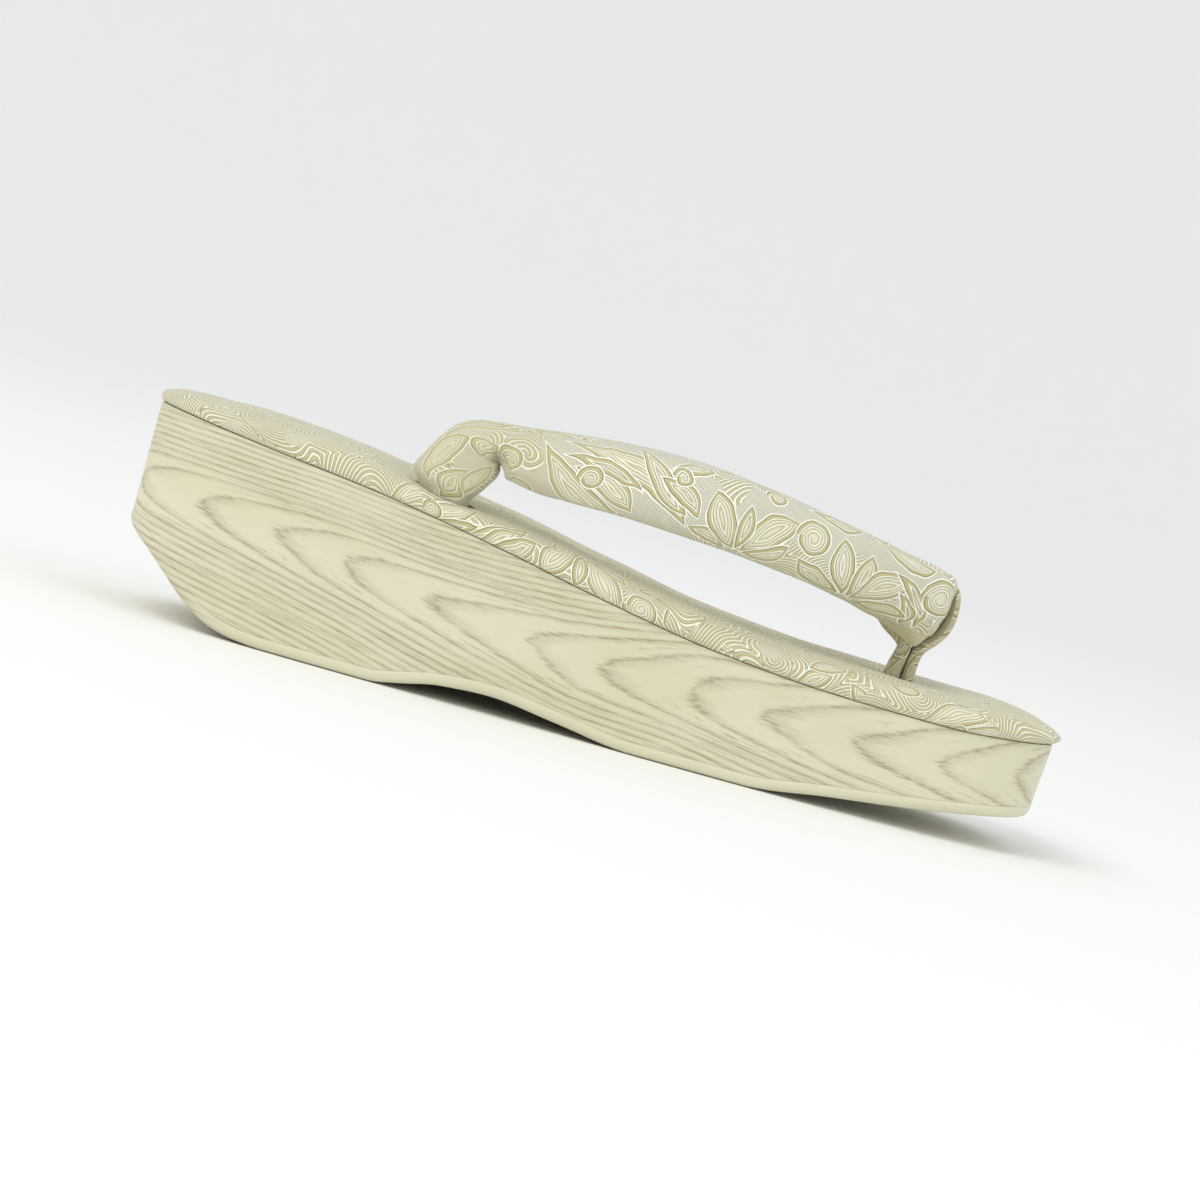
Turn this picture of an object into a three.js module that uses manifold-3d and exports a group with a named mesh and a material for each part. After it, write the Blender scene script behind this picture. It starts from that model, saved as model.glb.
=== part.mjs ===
// Zori sandal in millimetres: +X from heel to toe, +Y to the wearer's left, +Z up, standing on Z = 0.
import * as THREE from "three";
import { mergeVertices } from "three/addons/utils/BufferGeometryUtils.js";
import Module from "manifold-3d";

const wasm = await Module();
wasm.setup();

// Sizes of the whole sandal
const LENGTH = 240;
const HEEL_WIDTH = 76;
const BALL_WIDTH = 80;
const HEEL_SQUARENESS = 4.05;
const TOE_SQUARENESS = 3.9;
const GAP = 0.3;

// Sizes of the sole, its bottom sheet and the insole pad
const SHEET = 3.2;
const SIDE_TAPER = 2.2;
const PAD_FULL = 8.2;
const DOME_START = 17;
const DOME_FULL = 50;
const PLAN_POINTS = 56;

// Sizes of the strap and the toe loop
const TUBE_POINTS = 22;
const TUBE_SQUARENESS = 2.6;
const TUBE_END_Y = 6;
const NECK_BACK_X = 190;
const NECK_FRONT_X = 205.4;
const NECK_LOW_Z = 47;
const NECK_HIGH_Z = 60.2;
const BAND = 2.9;
const BAND_SQUARENESS = 2.8;
const BAND_WIDE_TOP = 11;
const BAND_WIDE_LOW = 9;

// Height of the upper edge of the sole's side along the length
const CREASE = [
  { x: 0, z: 52.0 },
  { x: 30, z: 48.6 },
  { x: 60, z: 45.3 },
  { x: 90, z: 40.5 },
  { x: 120, z: 34.8 },
  { x: 150, z: 30.2 },
  { x: 180, z: 28.3 },
  { x: 210, z: 28.1 },
  { x: 240, z: 30.4 },
];

// Height of the bottom: slanted heel, flat heel rest, low arch, flat forefoot rest, toe spring
const GROUND = [
  { x: 0, z: 20.5 },
  { x: 6, z: 17 },
  { x: 12, z: 12.5 },
  { x: 18, z: 7.6 },
  { x: 23, z: 4.2 },
  { x: 28, z: 1.9 },
  { x: 34, z: 0.6 },
  { x: 42, z: 0 },
  { x: 68, z: 0 },
  { x: 76, z: 1.4 },
  { x: 86, z: 3.6 },
  { x: 98, z: 4.4 },
  { x: 116, z: 2.4 },
  { x: 136, z: 0 },
  { x: 163, z: 0 },
  { x: 186, z: 2.9 },
  { x: 205, z: 5.2 },
  { x: 225, z: 8.0 },
  { x: 240, z: 10 },
];

// Bottom sheet from its upper edge round its lower corner: share of its thickness, and inset
const SHEET_EDGE = [
  { share: 1, inset: 0 },
  { share: 0.6, inset: -0.3 },
  { share: 0.28, inset: 0.4 },
  { share: 0.06, inset: 1.6 },
  { share: 0, inset: 3 },
];

// Height of the pad over the crease along its middle: it thins to the heel and the toe
const CROWN = [
  { x: 0, z: 4.2 },
  { x: 7, z: 5.0 },
  { x: 15, z: 5.8 },
  { x: 23, z: 6.9 },
  { x: 34, z: 7.6 },
  { x: 50, z: 7.9 },
  { x: 85, z: 8.2 },
  { x: 120, z: 8.0 },
  { x: 160, z: 7.4 },
  { x: 190, z: 7.2 },
  { x: 212, z: 6.9 },
  { x: 222, z: 6.4 },
  { x: 231, z: 5.4 },
  { x: 240, z: 3.6 },
];

// Pad from its lower edge over the turned rim on to the dome: height where the pad is fullest,
// and inset from the sole
const PAD_EDGE = [
  { up: 0.3, inset: 0.8 },
  { up: 1.3, inset: -0.9 },
  { up: 2.6, inset: -1.3 },
  { up: 4.0, inset: -0.9 },
  { up: 5.6, inset: 0.6 },
  { up: 6.7, inset: 3.2 },
  { up: 7.4, inset: 8 },
  { up: 7.9, inset: 16 },
];

// Rows of the dome between the last rim row and the middle line: share of its half width
const PAD_DOME = [
  { share: 0.62, up: 8.1 },
  { share: 0.3, up: 8.2 },
];

// Where the strap's roots and the toe loop go down into the pad: hollow and cut hole
const DIPS = [
  { x: 75, y: -31, reach: 13, deep: 2.2, holeX: 7.7, holeY: 5.6, lean: -1 },
  { x: 75, y: 31, reach: 13, deep: 2.2, holeX: 7.7, holeY: 5.6, lean: -1 },
  { x: 198.8, y: 0, reach: 12, deep: 2, holeX: 4, holeY: 4.8, lean: 0 },
];

// One tube of the strap from the end of its root to the joint: upper and under point of each
// section, distance from the middle line, width, and the plan angle of the tube there
const TUBE = [
  { topX: 69.7, topZ: 44.4, lowX: 80.6, lowZ: 42.9, y: 31, wide: 7.6, turn: 0 },
  { topX: 67.9, topZ: 49.2, lowX: 80.7, lowZ: 48.1, y: 31, wide: 9, turn: 0 },
  { topX: 65.6, topZ: 53.9, lowX: 83.6, lowZ: 52.9, y: 31, wide: 12, turn: 0 },
  { topX: 67.6, topZ: 58.5, lowX: 85.8, lowZ: 57.2, y: 31.2, wide: 14.5, turn: 0 },
  { topX: 70.3, topZ: 63.3, lowX: 85.6, lowZ: 59.6, y: 31.5, wide: 16, turn: 0 },
  { topX: 73.5, topZ: 66.2, lowX: 86.0, lowZ: 59.9, y: 31.9, wide: 16.6, turn: 0 },
  { topX: 78.5, topZ: 68.1, lowX: 86.6, lowZ: 59.5, y: 32.3, wide: 17, turn: 0 },
  { topX: 83.5, topZ: 68.8, lowX: 87.6, lowZ: 58.0, y: 32.7, wide: 17, turn: 0 },
  { topX: 89.5, topZ: 69.5, lowX: 90.2, lowZ: 56.7, y: 33.1, wide: 17, turn: 0 },
  { topX: 96, topZ: 70.3, lowX: 97, lowZ: 56.0, y: 33.4, wide: 17, turn: 1 },
  { topX: 105, topZ: 71.4, lowX: 106, lowZ: 55.8, y: 33.5, wide: 17.2, turn: 3 },
  { topX: 117, topZ: 72.6, lowX: 117, lowZ: 55.5, y: 32.8, wide: 17.4, turn: 6 },
  { topX: 130, topZ: 73.2, lowX: 129.6, lowZ: 54.9, y: 31.3, wide: 17.6, turn: 9 },
  { topX: 143.5, topZ: 72.8, lowX: 142, lowZ: 54.1, y: 29, wide: 17.8, turn: 12 },
  { topX: 157, topZ: 71.2, lowX: 154.8, lowZ: 53.1, y: 25.8, wide: 17.8, turn: 15 },
  { topX: 170.5, topZ: 69.2, lowX: 168, lowZ: 52.4, y: 21.6, wide: 17.8, turn: 21 },
  { topX: 182, topZ: 67.2, lowX: 179, lowZ: 50.9, y: 16.8, wide: 17.8, turn: 33 },
  { topX: 190.3, topZ: 65.6, lowX: 187.7, lowZ: 48.0, y: 12.2, wide: 17.6, turn: 50 },
  { topX: 197, topZ: 64.2, lowX: 195.4, lowZ: 45.4, y: 8.2, wide: 18.6, turn: 74 },
  { topX: 199.8, topZ: 63.4, lowX: 197.8, lowZ: 45.6, y: TUBE_END_Y, wide: 16.4, turn: 90 },
];

// Stem of the toe loop from its end in the pad up into the band
const STEM = [
  { z: 28.7, backX: 195.6, frontX: 201.8, wide: 7.8 },
  { z: 34, backX: 195.5, frontX: 202, wide: 8.2 },
  { z: 36.5, backX: 195.3, frontX: 202.3, wide: 8.4 },
  { z: 39.2, backX: 195.8, frontX: 202.5, wide: 8.4 },
  { z: 42.3, backX: 196.8, frontX: 203.1, wide: 8.6 },
  { z: 45.4, backX: 196.6, frontX: 203.3, wide: 8.6 },
];

// Value at x on a smooth curve through the rows of a height table that never overshoots a row
function heightAt(rows, x) {
  const n = rows.length;
  const at = Math.min(Math.max(x, rows[0].x), rows[n - 1].x);
  let i = 0;
  while (i < n - 2 && at > rows[i + 1].x) i += 1;
  const rise = (k) => (rows[k + 1].z - rows[k].z) / (rows[k + 1].x - rows[k].x);
  const slope = (k) => {
    if (k === 0) return rise(0);
    if (k === n - 1) return rise(n - 2);
    const a = rise(k - 1);
    const b = rise(k);
    return a * b <= 0 ? 0 : (2 * a * b) / (a + b);
  };
  const step = rows[i + 1].x - rows[i].x;
  const t = (at - rows[i].x) / step;
  const u = 1 - t;
  return (
    rows[i].z * (1 + 2 * t) * u * u +
    slope(i) * step * t * u * u +
    rows[i + 1].z * t * t * (3 - 2 * t) -
    slope(i + 1) * step * t * t * u
  );
}

// Share from 0 to 1 as x runs from a to b, with soft ends
function soft(x, a, b) {
  return THREE.MathUtils.smoothstep(x, a, b);
}

// Height of the sheet's upper side over the bottom, measured upright, for its slope at x
function sheetHeight(x) {
  const slope = (heightAt(GROUND, x + 1) - heightAt(GROUND, x - 1)) / 2;
  return SHEET * Math.sqrt(1 + slope * slope);
}

// How far the lower edge of the side stands in from the upper edge: none at the heel's back
function taperAt(x) {
  return SIDE_TAPER * soft(x, 0, 50) * (1 - 0.5 * soft(x, 190, LENGTH));
}

// How far the pad hides or passes the sole's upper edge: little at the heel, most at the toe
function lipAt(x) {
  return 0.3 + (0.9 * x) / LENGTH;
}

// Half of the sole's outline: heel tip, right side, toe tip
class HalfPlan extends THREE.Curve {
  constructor() {
    super();
    this.arcLengthDivisions = 3000;
  }

  getPoint(t, target = new THREE.Vector3()) {
    const c = -Math.cos(Math.PI * t);
    const s = Math.abs(Math.sin(Math.PI * t));
    const power = 2 / (c < 0 ? HEEL_SQUARENESS : TOE_SQUARENESS);
    const half = LENGTH / 2;
    const x = half + half * Math.sign(c) * Math.pow(Math.abs(c), power);
    const width = THREE.MathUtils.lerp(HEEL_WIDTH, BALL_WIDTH, soft(x, 40, 160));
    return target.set(x, (-width / 2) * Math.pow(s, power), 0);
  }
}

const rightHalf = new HalfPlan().getSpacedPoints(PLAN_POINTS);
const leftHalf = rightHalf.slice(1, -1).reverse();
const PLAN = [
  ...rightHalf.map((p) => ({ x: p.x, y: p.y })),
  ...leftHalf.map((p) => ({ x: p.x, y: -p.y })),
];

// Point i of the outline, moved in square to it by inset
function planPoint(i, insetAt) {
  const n = PLAN.length;
  const p = PLAN[i];
  const a = PLAN[(i + n - 1) % n];
  const b = PLAN[(i + 1) % n];
  const long = Math.hypot(b.x - a.x, b.y - a.y);
  const inset = insetAt(p.x);
  return {
    x: p.x - (inset * (b.y - a.y)) / long,
    y: p.y + (inset * (b.x - a.x)) / long,
  };
}

// How far the pad is drawn down at a place by the roots and the toe loop
function dipAt(x, y) {
  return DIPS.reduce((sum, d) => {
    const r = Math.hypot(x - d.x, y - d.y) / d.reach;
    return sum + d.deep * Math.exp(-r * r);
  }, 0);
}

// Geometry from lists of corners and faces
function meshOf(corners, faces) {
  const geometry = new THREE.BufferGeometry();
  geometry.setAttribute("position", new THREE.Float32BufferAttribute(corners.flat(), 3));
  geometry.setIndex(faces.flat());
  return geometry;
}

// Closed body from rings of equal count, first to last, with a fan over each end
function loft(rings) {
  const n = rings[0].length;
  const corners = rings.flat();
  const faces = [];
  for (let k = 0; k < rings.length - 1; k += 1) {
    for (let i = 0; i < n; i += 1) {
      const j = (i + 1) % n;
      const a = k * n;
      const b = a + n;
      faces.push([a + i, a + j, b + j], [a + i, b + j, b + i]);
    }
  }
  const middle = (ring) => [0, 1, 2].map((c) => ring.reduce((s, p) => s + p[c], 0) / n);
  const first = corners.push(middle(rings[0])) - 1;
  const last = corners.push(middle(rings[rings.length - 1])) - 1;
  const end = (rings.length - 1) * n;
  for (let i = 0; i < n; i += 1) {
    const j = (i + 1) % n;
    faces.push([first, j, i], [last, end + i, end + j]);
  }
  return meshOf(corners, faces);
}

// Closed body that follows the sole's outline: rows of rings from below, each with an inset and
// a height, then rows drawn from the last ring towards the middle line, which closes it above
// and below
function planBody(rings, dome, middleLow, middleHigh) {
  const n = PLAN.length;
  const rows = rings.map((ring) =>
    PLAN.map((_, i) => {
      const p = planPoint(i, ring.inset);
      return [p.x, p.y, ring.height(p.x, p.y)];
    }),
  );
  const rim = rows[rows.length - 1];
  for (const row of dome) {
    rows.push(rim.map((p) => [p[0], p[1] * row.share, row.height(p[0], p[1] * row.share)]));
  }
  const corners = rows.flat();
  const faces = [];
  for (let k = 0; k < rows.length - 1; k += 1) {
    const a = k * n;
    const b = a + n;
    for (let i = 0; i < n; i += 1) {
      const j = (i + 1) % n;
      faces.push([a + i, a + j, b + j], [a + i, b + j, b + i]);
    }
  }
  // The middle line has one corner for each pair of mirrored outline points
  const close = (start, row, height, up) => {
    const spine = row.map((p, i) =>
      i === 0 || i === PLAN_POINTS
        ? start + i
        : i < PLAN_POINTS
          ? corners.push([p[0], 0, height(p[0], 0)]) - 1
          : -1,
    );
    for (let i = 0; i < n; i += 1) {
      const j = (i + 1) % n;
      const a = spine[i <= PLAN_POINTS ? i : n - i];
      const b = spine[j <= PLAN_POINTS ? j : n - j];
      const quad = [start + i, start + j, b, a].filter((v, at, all) => all.indexOf(v) === at);
      const face = up ? quad : quad.reverse();
      faces.push([face[0], face[1], face[2]]);
      if (face.length === 4) faces.push([face[0], face[2], face[3]]);
    }
  };
  close(0, rows[0], middleLow, false);
  close((rows.length - 1) * n, rows[rows.length - 1], middleHigh, true);
  return meshOf(corners, faces);
}

// Solid for joining and cutting
function solid(geometry) {
  const bare = new THREE.BufferGeometry();
  bare.setAttribute("position", geometry.getAttribute("position"));
  bare.setIndex(geometry.getIndex());
  const merged = mergeVertices(bare, 1e-4);
  const vertProperties = new Float32Array(merged.getAttribute("position").array);
  const triVerts = new Uint32Array(merged.getIndex().array);
  return new wasm.Manifold(new wasm.Mesh({ numProp: 3, vertProperties, triVerts }));
}

// Geometry of a joined or cut solid
function geometryOf(body) {
  const made = body.getMesh();
  const geometry = new THREE.BufferGeometry();
  geometry.setAttribute("position", new THREE.BufferAttribute(made.vertProperties, 3));
  geometry.setIndex(new THREE.BufferAttribute(made.triVerts, 1));
  return geometry;
}

// Corner i of n on a rounded square of half sizes a and b
function roundedCorner(i, n, a, b, squareness) {
  const angle = (2 * Math.PI * i) / n;
  const c = Math.cos(angle);
  const s = Math.sin(angle);
  const power = 2 / squareness;
  return [
    a * Math.sign(c) * Math.pow(Math.abs(c), power),
    b * Math.sign(s) * Math.pow(Math.abs(s), power),
  ];
}

// Bottom sheet: follows the ground line, with a rounded lower corner
function makeOutsole() {
  const rings = [...SHEET_EDGE].reverse().map((row) => ({
    inset: (x) => taperAt(x) + row.inset,
    height: (x) => heightAt(GROUND, x) + row.share * sheetHeight(x),
  }));
  const low = (x) => heightAt(GROUND, x);
  const high = (x) => heightAt(GROUND, x) + sheetHeight(x);
  return planBody(rings, [], low, high);
}

// Platform core: from the sheet up to the crease under the pad
function makeSole() {
  const low = (x) => heightAt(GROUND, x) + sheetHeight(x) + GAP;
  const high = (x) => heightAt(CREASE, x);
  const rings = [0, 0.5, 1].map((share) => ({
    inset: (x) => taperAt(x) * (1 - share),
    height: (x) => THREE.MathUtils.lerp(low(x), high(x), share),
  }));
  return planBody(rings, [], low, high);
}

// Padded insole: turned rim, dome, hollows round the strap, and a hole for each root and the stem
function makeInsole() {
  const height = (up) => (x, y) => {
    const share = (up - GAP) / (PAD_FULL - GAP);
    const thick = heightAt(CROWN, x) - GAP;
    return heightAt(CREASE, x) + GAP + share * thick - share * share * dipAt(x, y);
  };
  const rings = PAD_EDGE.map((row) => ({
    inset: (x) => (row.inset < 0 ? row.inset * lipAt(x) : row.inset),
    height: height(row.up),
  }));
  const rimUp = PAD_EDGE[PAD_EDGE.length - 1].up;
  const domeHeight = (up) => (x, y) => {
    const share = soft(Math.min(x, LENGTH - x), DOME_START, DOME_FULL);
    return height(THREE.MathUtils.lerp(rimUp, up, share))(x, y);
  };
  const dome = PAD_DOME.map((row) => ({ share: row.share, height: domeHeight(row.up) }));
  let body = solid(planBody(rings, dome, height(GAP), domeHeight(PAD_FULL)));
  for (const d of DIPS) {
    const level = heightAt(CREASE, d.x);
    const ring = (up) =>
      Array.from({ length: TUBE_POINTS }, (_, i) => {
        const [dx, dy] = roundedCorner(i, TUBE_POINTS, d.holeX, d.holeY, TUBE_SQUARENESS);
        return [d.x + dx + (d.lean * up) / 12, d.y + dy, level + up];
      });
    body = body.subtract(solid(loft([ring(-4), ring(14)])));
  }
  return geometryOf(body);
}

// One padded tube of the strap, on the left with side 1 or on the right with side -1
function makeTube(side) {
  const rings = TUBE.map((row) => {
    const x = (row.topX + row.lowX) / 2;
    const z = (row.topZ + row.lowZ) / 2;
    const turn = THREE.MathUtils.degToRad(row.turn);
    return Array.from({ length: TUBE_POINTS }, (_, i) => {
      const [w, v] = roundedCorner(i, TUBE_POINTS, row.wide / 2, 1, TUBE_SQUARENESS);
      return [
        x + (v * (row.topX - row.lowX)) / 2 + w * Math.sin(turn),
        side * (row.y + w * Math.cos(turn)),
        z + (v * (row.topZ - row.lowZ)) / 2,
      ];
    });
  });
  return solid(loft(side > 0 ? rings : rings.map((ring) => [...ring].reverse())));
}

// Ring of a rounded square in a lengthwise plane at y
function lengthwiseRing(y, backX, frontX, lowZ, highZ, squareness) {
  return Array.from({ length: 32 }, (_, i) => {
    const a = (frontX - backX) / 2;
    const b = (highZ - lowZ) / 2;
    const [dx, dz] = roundedCorner(i, 32, a, b, squareness);
    return [(frontX + backX) / 2 + dx, y(dz / b), (highZ + lowZ) / 2 + dz];
  });
}

// Strap: two padded tubes that meet in a pinched neck under the toe loop, one solid
function makeStrap() {
  const ring = (y) =>
    lengthwiseRing(() => y, NECK_BACK_X, NECK_FRONT_X, NECK_LOW_Z, NECK_HIGH_Z, 2.4);
  const reach = TUBE_END_Y + 0.6;
  const neck = solid(loft([ring(reach), ring(-reach)]));
  return geometryOf(makeTube(1).add(neck).add(makeTube(-1)));
}

// Toe loop: folded band round the strap's neck, with a stem that goes down into the pad
function makeToeLoop() {
  const half = (share) =>
    THREE.MathUtils.lerp(BAND_WIDE_LOW, BAND_WIDE_TOP, (share + 1) / 2) / 2;
  const ring = (side, grow, wide) =>
    lengthwiseRing(
      (share) => side * (half(share) + wide),
      NECK_BACK_X - grow,
      NECK_FRONT_X + grow,
      NECK_LOW_Z - grow,
      NECK_HIGH_Z + grow,
      BAND_SQUARENESS,
    );
  const outer = solid(loft([ring(1, BAND + GAP, 0), ring(-1, BAND + GAP, 0)]));
  const inner = solid(loft([ring(1, GAP, 2), ring(-1, GAP, 2)]));
  const stem = solid(
    loft(
      STEM.map((row) =>
        Array.from({ length: 20 }, (_, i) => {
          const half = (row.frontX - row.backX) / 2;
          const [dx, dy] = roundedCorner(i, 20, half, row.wide / 2, TUBE_SQUARENESS);
          return [(row.frontX + row.backX) / 2 + dx, dy, row.z];
        }),
      ),
    ),
  );
  return geometryOf(outer.subtract(inner).add(stem));
}

// Named mesh with its own finish
function node(name, geometry, color, roughness) {
  const material = new THREE.MeshStandardMaterial({ color, roughness, metalness: 0 });
  const mesh = new THREE.Mesh(geometry, material);
  mesh.name = name;
  return mesh;
}

// Zori sandal: bottom sheet, core, padded insole, V-shaped strap and toe loop
const zori = new THREE.Group();
zori.name = "zori_sandal";
zori.add(node("outsole", makeOutsole(), 0xe6e2c4, 0.6));
zori.add(node("sole", makeSole(), 0xdedabb, 0.45));
zori.add(node("insole", makeInsole(), 0xd3ceac, 0.8));
zori.add(node("strap", makeStrap(), 0xd8d3b8, 0.8));
zori.add(node("toe_loop", makeToeLoop(), 0xcfc9a6, 0.8));

// The origin is in the middle of the length, which the pad's lip lengthens at both ends
const lip = Math.abs(Math.min(...PAD_EDGE.map((row) => row.inset)));
zori.position.x = -(LENGTH + lip * (lipAt(LENGTH) - lipAt(0))) / 2;

export default zori;
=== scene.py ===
"""Zori sandal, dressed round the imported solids: metres, +X from heel to toe, +Z up."""

import logging
import math
from collections.abc import Callable, Sequence
from dataclasses import dataclass
from enum import Enum

import bpy
import numpy as np
from mathutils import Matrix, Vector


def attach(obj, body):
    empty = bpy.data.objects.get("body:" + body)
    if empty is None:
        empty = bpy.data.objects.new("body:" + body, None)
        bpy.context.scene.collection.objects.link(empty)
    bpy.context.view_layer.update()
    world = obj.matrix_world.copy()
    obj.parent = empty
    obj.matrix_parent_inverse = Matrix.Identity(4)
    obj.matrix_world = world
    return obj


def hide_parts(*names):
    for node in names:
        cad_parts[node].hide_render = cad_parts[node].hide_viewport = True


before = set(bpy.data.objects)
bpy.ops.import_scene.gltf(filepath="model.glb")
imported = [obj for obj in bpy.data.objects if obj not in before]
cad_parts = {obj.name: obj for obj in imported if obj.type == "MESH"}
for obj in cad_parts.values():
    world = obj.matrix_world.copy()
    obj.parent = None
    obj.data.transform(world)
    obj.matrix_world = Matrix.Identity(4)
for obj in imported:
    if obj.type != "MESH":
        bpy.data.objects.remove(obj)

log = logging.getLogger("zori")
MM = 0.001
Socket = bpy.types.NodeSocket
Piece = bpy.types.Object
Tone = tuple[int, int, int]
Pair = tuple[float, float]
Spot = tuple[float, float, float]
Table = tuple[float, ...]
Curve = Callable[[np.ndarray], np.ndarray]


def linear(red: int, green: int, blue: int) -> tuple[float, ...]:
    """Screen colour as linear light.

    Args:
        red: Red, 0 to 255.
        green: Green, 0 to 255.
        blue: Blue, 0 to 255.

    Returns:
        Linear red, green, blue and an alpha of one.
    """
    shares = [c / 255 for c in (red, green, blue)]
    light = [s / 12.92 if s <= 0.04045 else ((s + 0.055) / 1.055) ** 2.4 for s in shares]
    return (light[0], light[1], light[2], 1.0)


def smooth_table(x: np.ndarray, at: Sequence[float], value: Sequence[float]) -> np.ndarray:
    """Smooth curve through the rows of a table that never overshoots a row.

    Args:
        x: Where the curve is wanted.
        at: Places of the rows, rising.
        value: Value of each row.

    Returns:
        The curve's value at each x.
    """
    a, v = np.asarray(at, float), np.asarray(value, float)
    x = np.clip(np.asarray(x, float), a[0], a[-1])
    rise = np.diff(v) / np.diff(a)
    slope = np.empty_like(v)
    slope[0], slope[-1] = rise[0], rise[-1]
    product = rise[:-1] * rise[1:]
    total = np.where(product > 0, rise[:-1] + rise[1:], 1.0)
    slope[1:-1] = np.where(product > 0, 2 * product / total, 0.0)
    i = np.clip(np.searchsorted(a, x, side="right") - 1, 0, len(a) - 2)
    step = a[i + 1] - a[i]
    t = (x - a[i]) / step
    u = 1 - t
    low = v[i] * (1 + 2 * t) * u * u + slope[i] * step * t * u * u
    return low + v[i + 1] * t * t * (3 - 2 * t) - slope[i + 1] * step * t * t * u


def soft_step(x: np.ndarray, start: float, end: float) -> np.ndarray:
    """Share from 0 at start to 1 at end, with soft ends."""
    t = np.clip((np.asarray(x, float) - start) / (end - start), 0, 1)
    return t * t * (3 - 2 * t)


def swelling(off: np.ndarray, width: float) -> np.ndarray:
    """Soft round swelling: 1 at its middle, falling off over a width."""
    return np.exp(-((off / width) ** 2))


def running(steps: np.ndarray) -> np.ndarray:
    """Running total of steps, from zero."""
    return np.concatenate([[0], np.cumsum(steps)])


def round_walk(ring: np.ndarray) -> np.ndarray:
    """Running length round a closed ring, from its first point and back to it."""
    return running(np.linalg.norm(np.diff(np.vstack([ring, ring[:1]]), axis=0), axis=1))


def deselect() -> None:
    """Leave object mode clean, with nothing selected."""
    if bpy.context.object and bpy.context.object.mode != "OBJECT":
        bpy.ops.object.mode_set(mode="OBJECT")
    bpy.ops.object.select_all(action="DESELECT")


def take(piece: Piece) -> None:
    """Select one piece alone and make it active.

    Args:
        piece: The piece.
    """
    deselect()
    piece.select_set(True)
    bpy.context.view_layer.objects.active = piece


def edit_all(piece: Piece, operator: Callable, **settings: object) -> None:
    """Run one edit-mode operator on the whole of a piece.

    Args:
        piece: The piece.
        operator: The operator.
        **settings: Its settings.
    """
    take(piece)
    bpy.ops.object.mode_set(mode="EDIT")
    bpy.ops.mesh.select_all(action="SELECT")
    operator(**settings)
    bpy.ops.object.mode_set(mode="OBJECT")


def finish_shading(piece: Piece, degrees: float) -> None:
    """Recalculate outward normals and smooth all edges under an angle.

    Args:
        piece: The piece.
        degrees: The angle.
    """
    edit_all(piece, bpy.ops.mesh.normals_make_consistent, inside=False)
    bpy.ops.object.shade_smooth_by_angle(angle=math.radians(degrees))
    deselect()


def mesh_piece(
    name: str,
    corners: np.ndarray,
    faces: Sequence[Sequence[int]],
    cloth: Sequence[Sequence[Pair]] | None = None,
) -> Piece:
    """Make an object from corners in millimetres.

    Args:
        name: The piece's name.
        corners: Corner places, in the row frame.
        faces: Corner numbers of each face.
        cloth: For each face, the place on the flat cloth of each of its corners.

    Returns:
        The new object, at the origin.
    """
    mesh = bpy.data.meshes.new(name)
    mesh.from_pydata((np.asarray(corners) * MM).tolist(), [], [list(f) for f in faces])
    if cloth is not None:
        layer = mesh.uv_layers.new(name="cloth")
        flat = np.array([p for face in cloth for p in face], dtype=np.float32)
        layer.data.foreach_set("uv", flat.ravel())
    mesh.validate()
    piece = bpy.data.objects.new(name, mesh)
    bpy.context.scene.collection.objects.link(piece)
    return piece


def swept_piece(
    name: str,
    rings: Sequence[np.ndarray],
    middle: float,
    cloth_at: Callable[[int, int, int], Pair],
) -> Piece:
    """Closed piece swept through rings of equal count.

    Args:
        name: The piece's name.
        rings: Rings of corners, in millimetres from the heel.
        middle: Place of the row frame's origin along the sandal.
        cloth_at: Place on the flat cloth, from a ring, a face round it and a corner.

    Returns:
        The piece, with its two ends closed.
    """
    n = len(rings[0])
    faces, cloth = [], []
    for k in range(len(rings) - 1):
        a, b = k * n, (k + 1) * n
        for i in range(n):
            j = (i + 1) % n
            faces.append((a + i, b + i, b + j, a + j))
            cloth.append([
                cloth_at(k, i, i), cloth_at(k + 1, i, i), cloth_at(k + 1, i, i + 1), cloth_at(k, i, i + 1),
            ])
    for first, turn in ((0, 1), ((len(rings) - 1) * n, -1)):
        faces.append(tuple(range(first, first + n))[::turn])
        cloth.append([(0.0, 0.0)] * n)
    corners = np.vstack(rings)
    corners[:, 0] -= middle
    return mesh_piece(name, corners, faces, cloth)


class Rides(Enum):
    """Body that a piece rides on."""

    SANDAL = "root"


class Slot(Enum):
    """Material slot of the record that a piece takes its finish from."""

    SHEET = "sheet_rubber"
    WOOD = "wood_print"
    BROCADE = "brocade"


def seat(piece: Piece, slot: Slot, replaced: str) -> Piece:
    """Make a finished piece ride, and let it stand for its solid.

    Args:
        piece: The finished piece.
        slot: Its material slot in the record; not used.
        replaced: The solid that it stands for.

    Returns:
        The same piece.
    """
    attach(piece, Rides.SANDAL.value)
    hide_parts(replaced)
    log.info("%s: %d faces", piece.name, len(piece.data.polygons))
    return piece


@dataclass(frozen=True)
class Dip:
    """Hollow and hole in the pad, where the strap or the toe loop goes down."""

    x: float
    y: float
    reach: float
    deep: float
    hole_x: float
    hole_y: float


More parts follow.
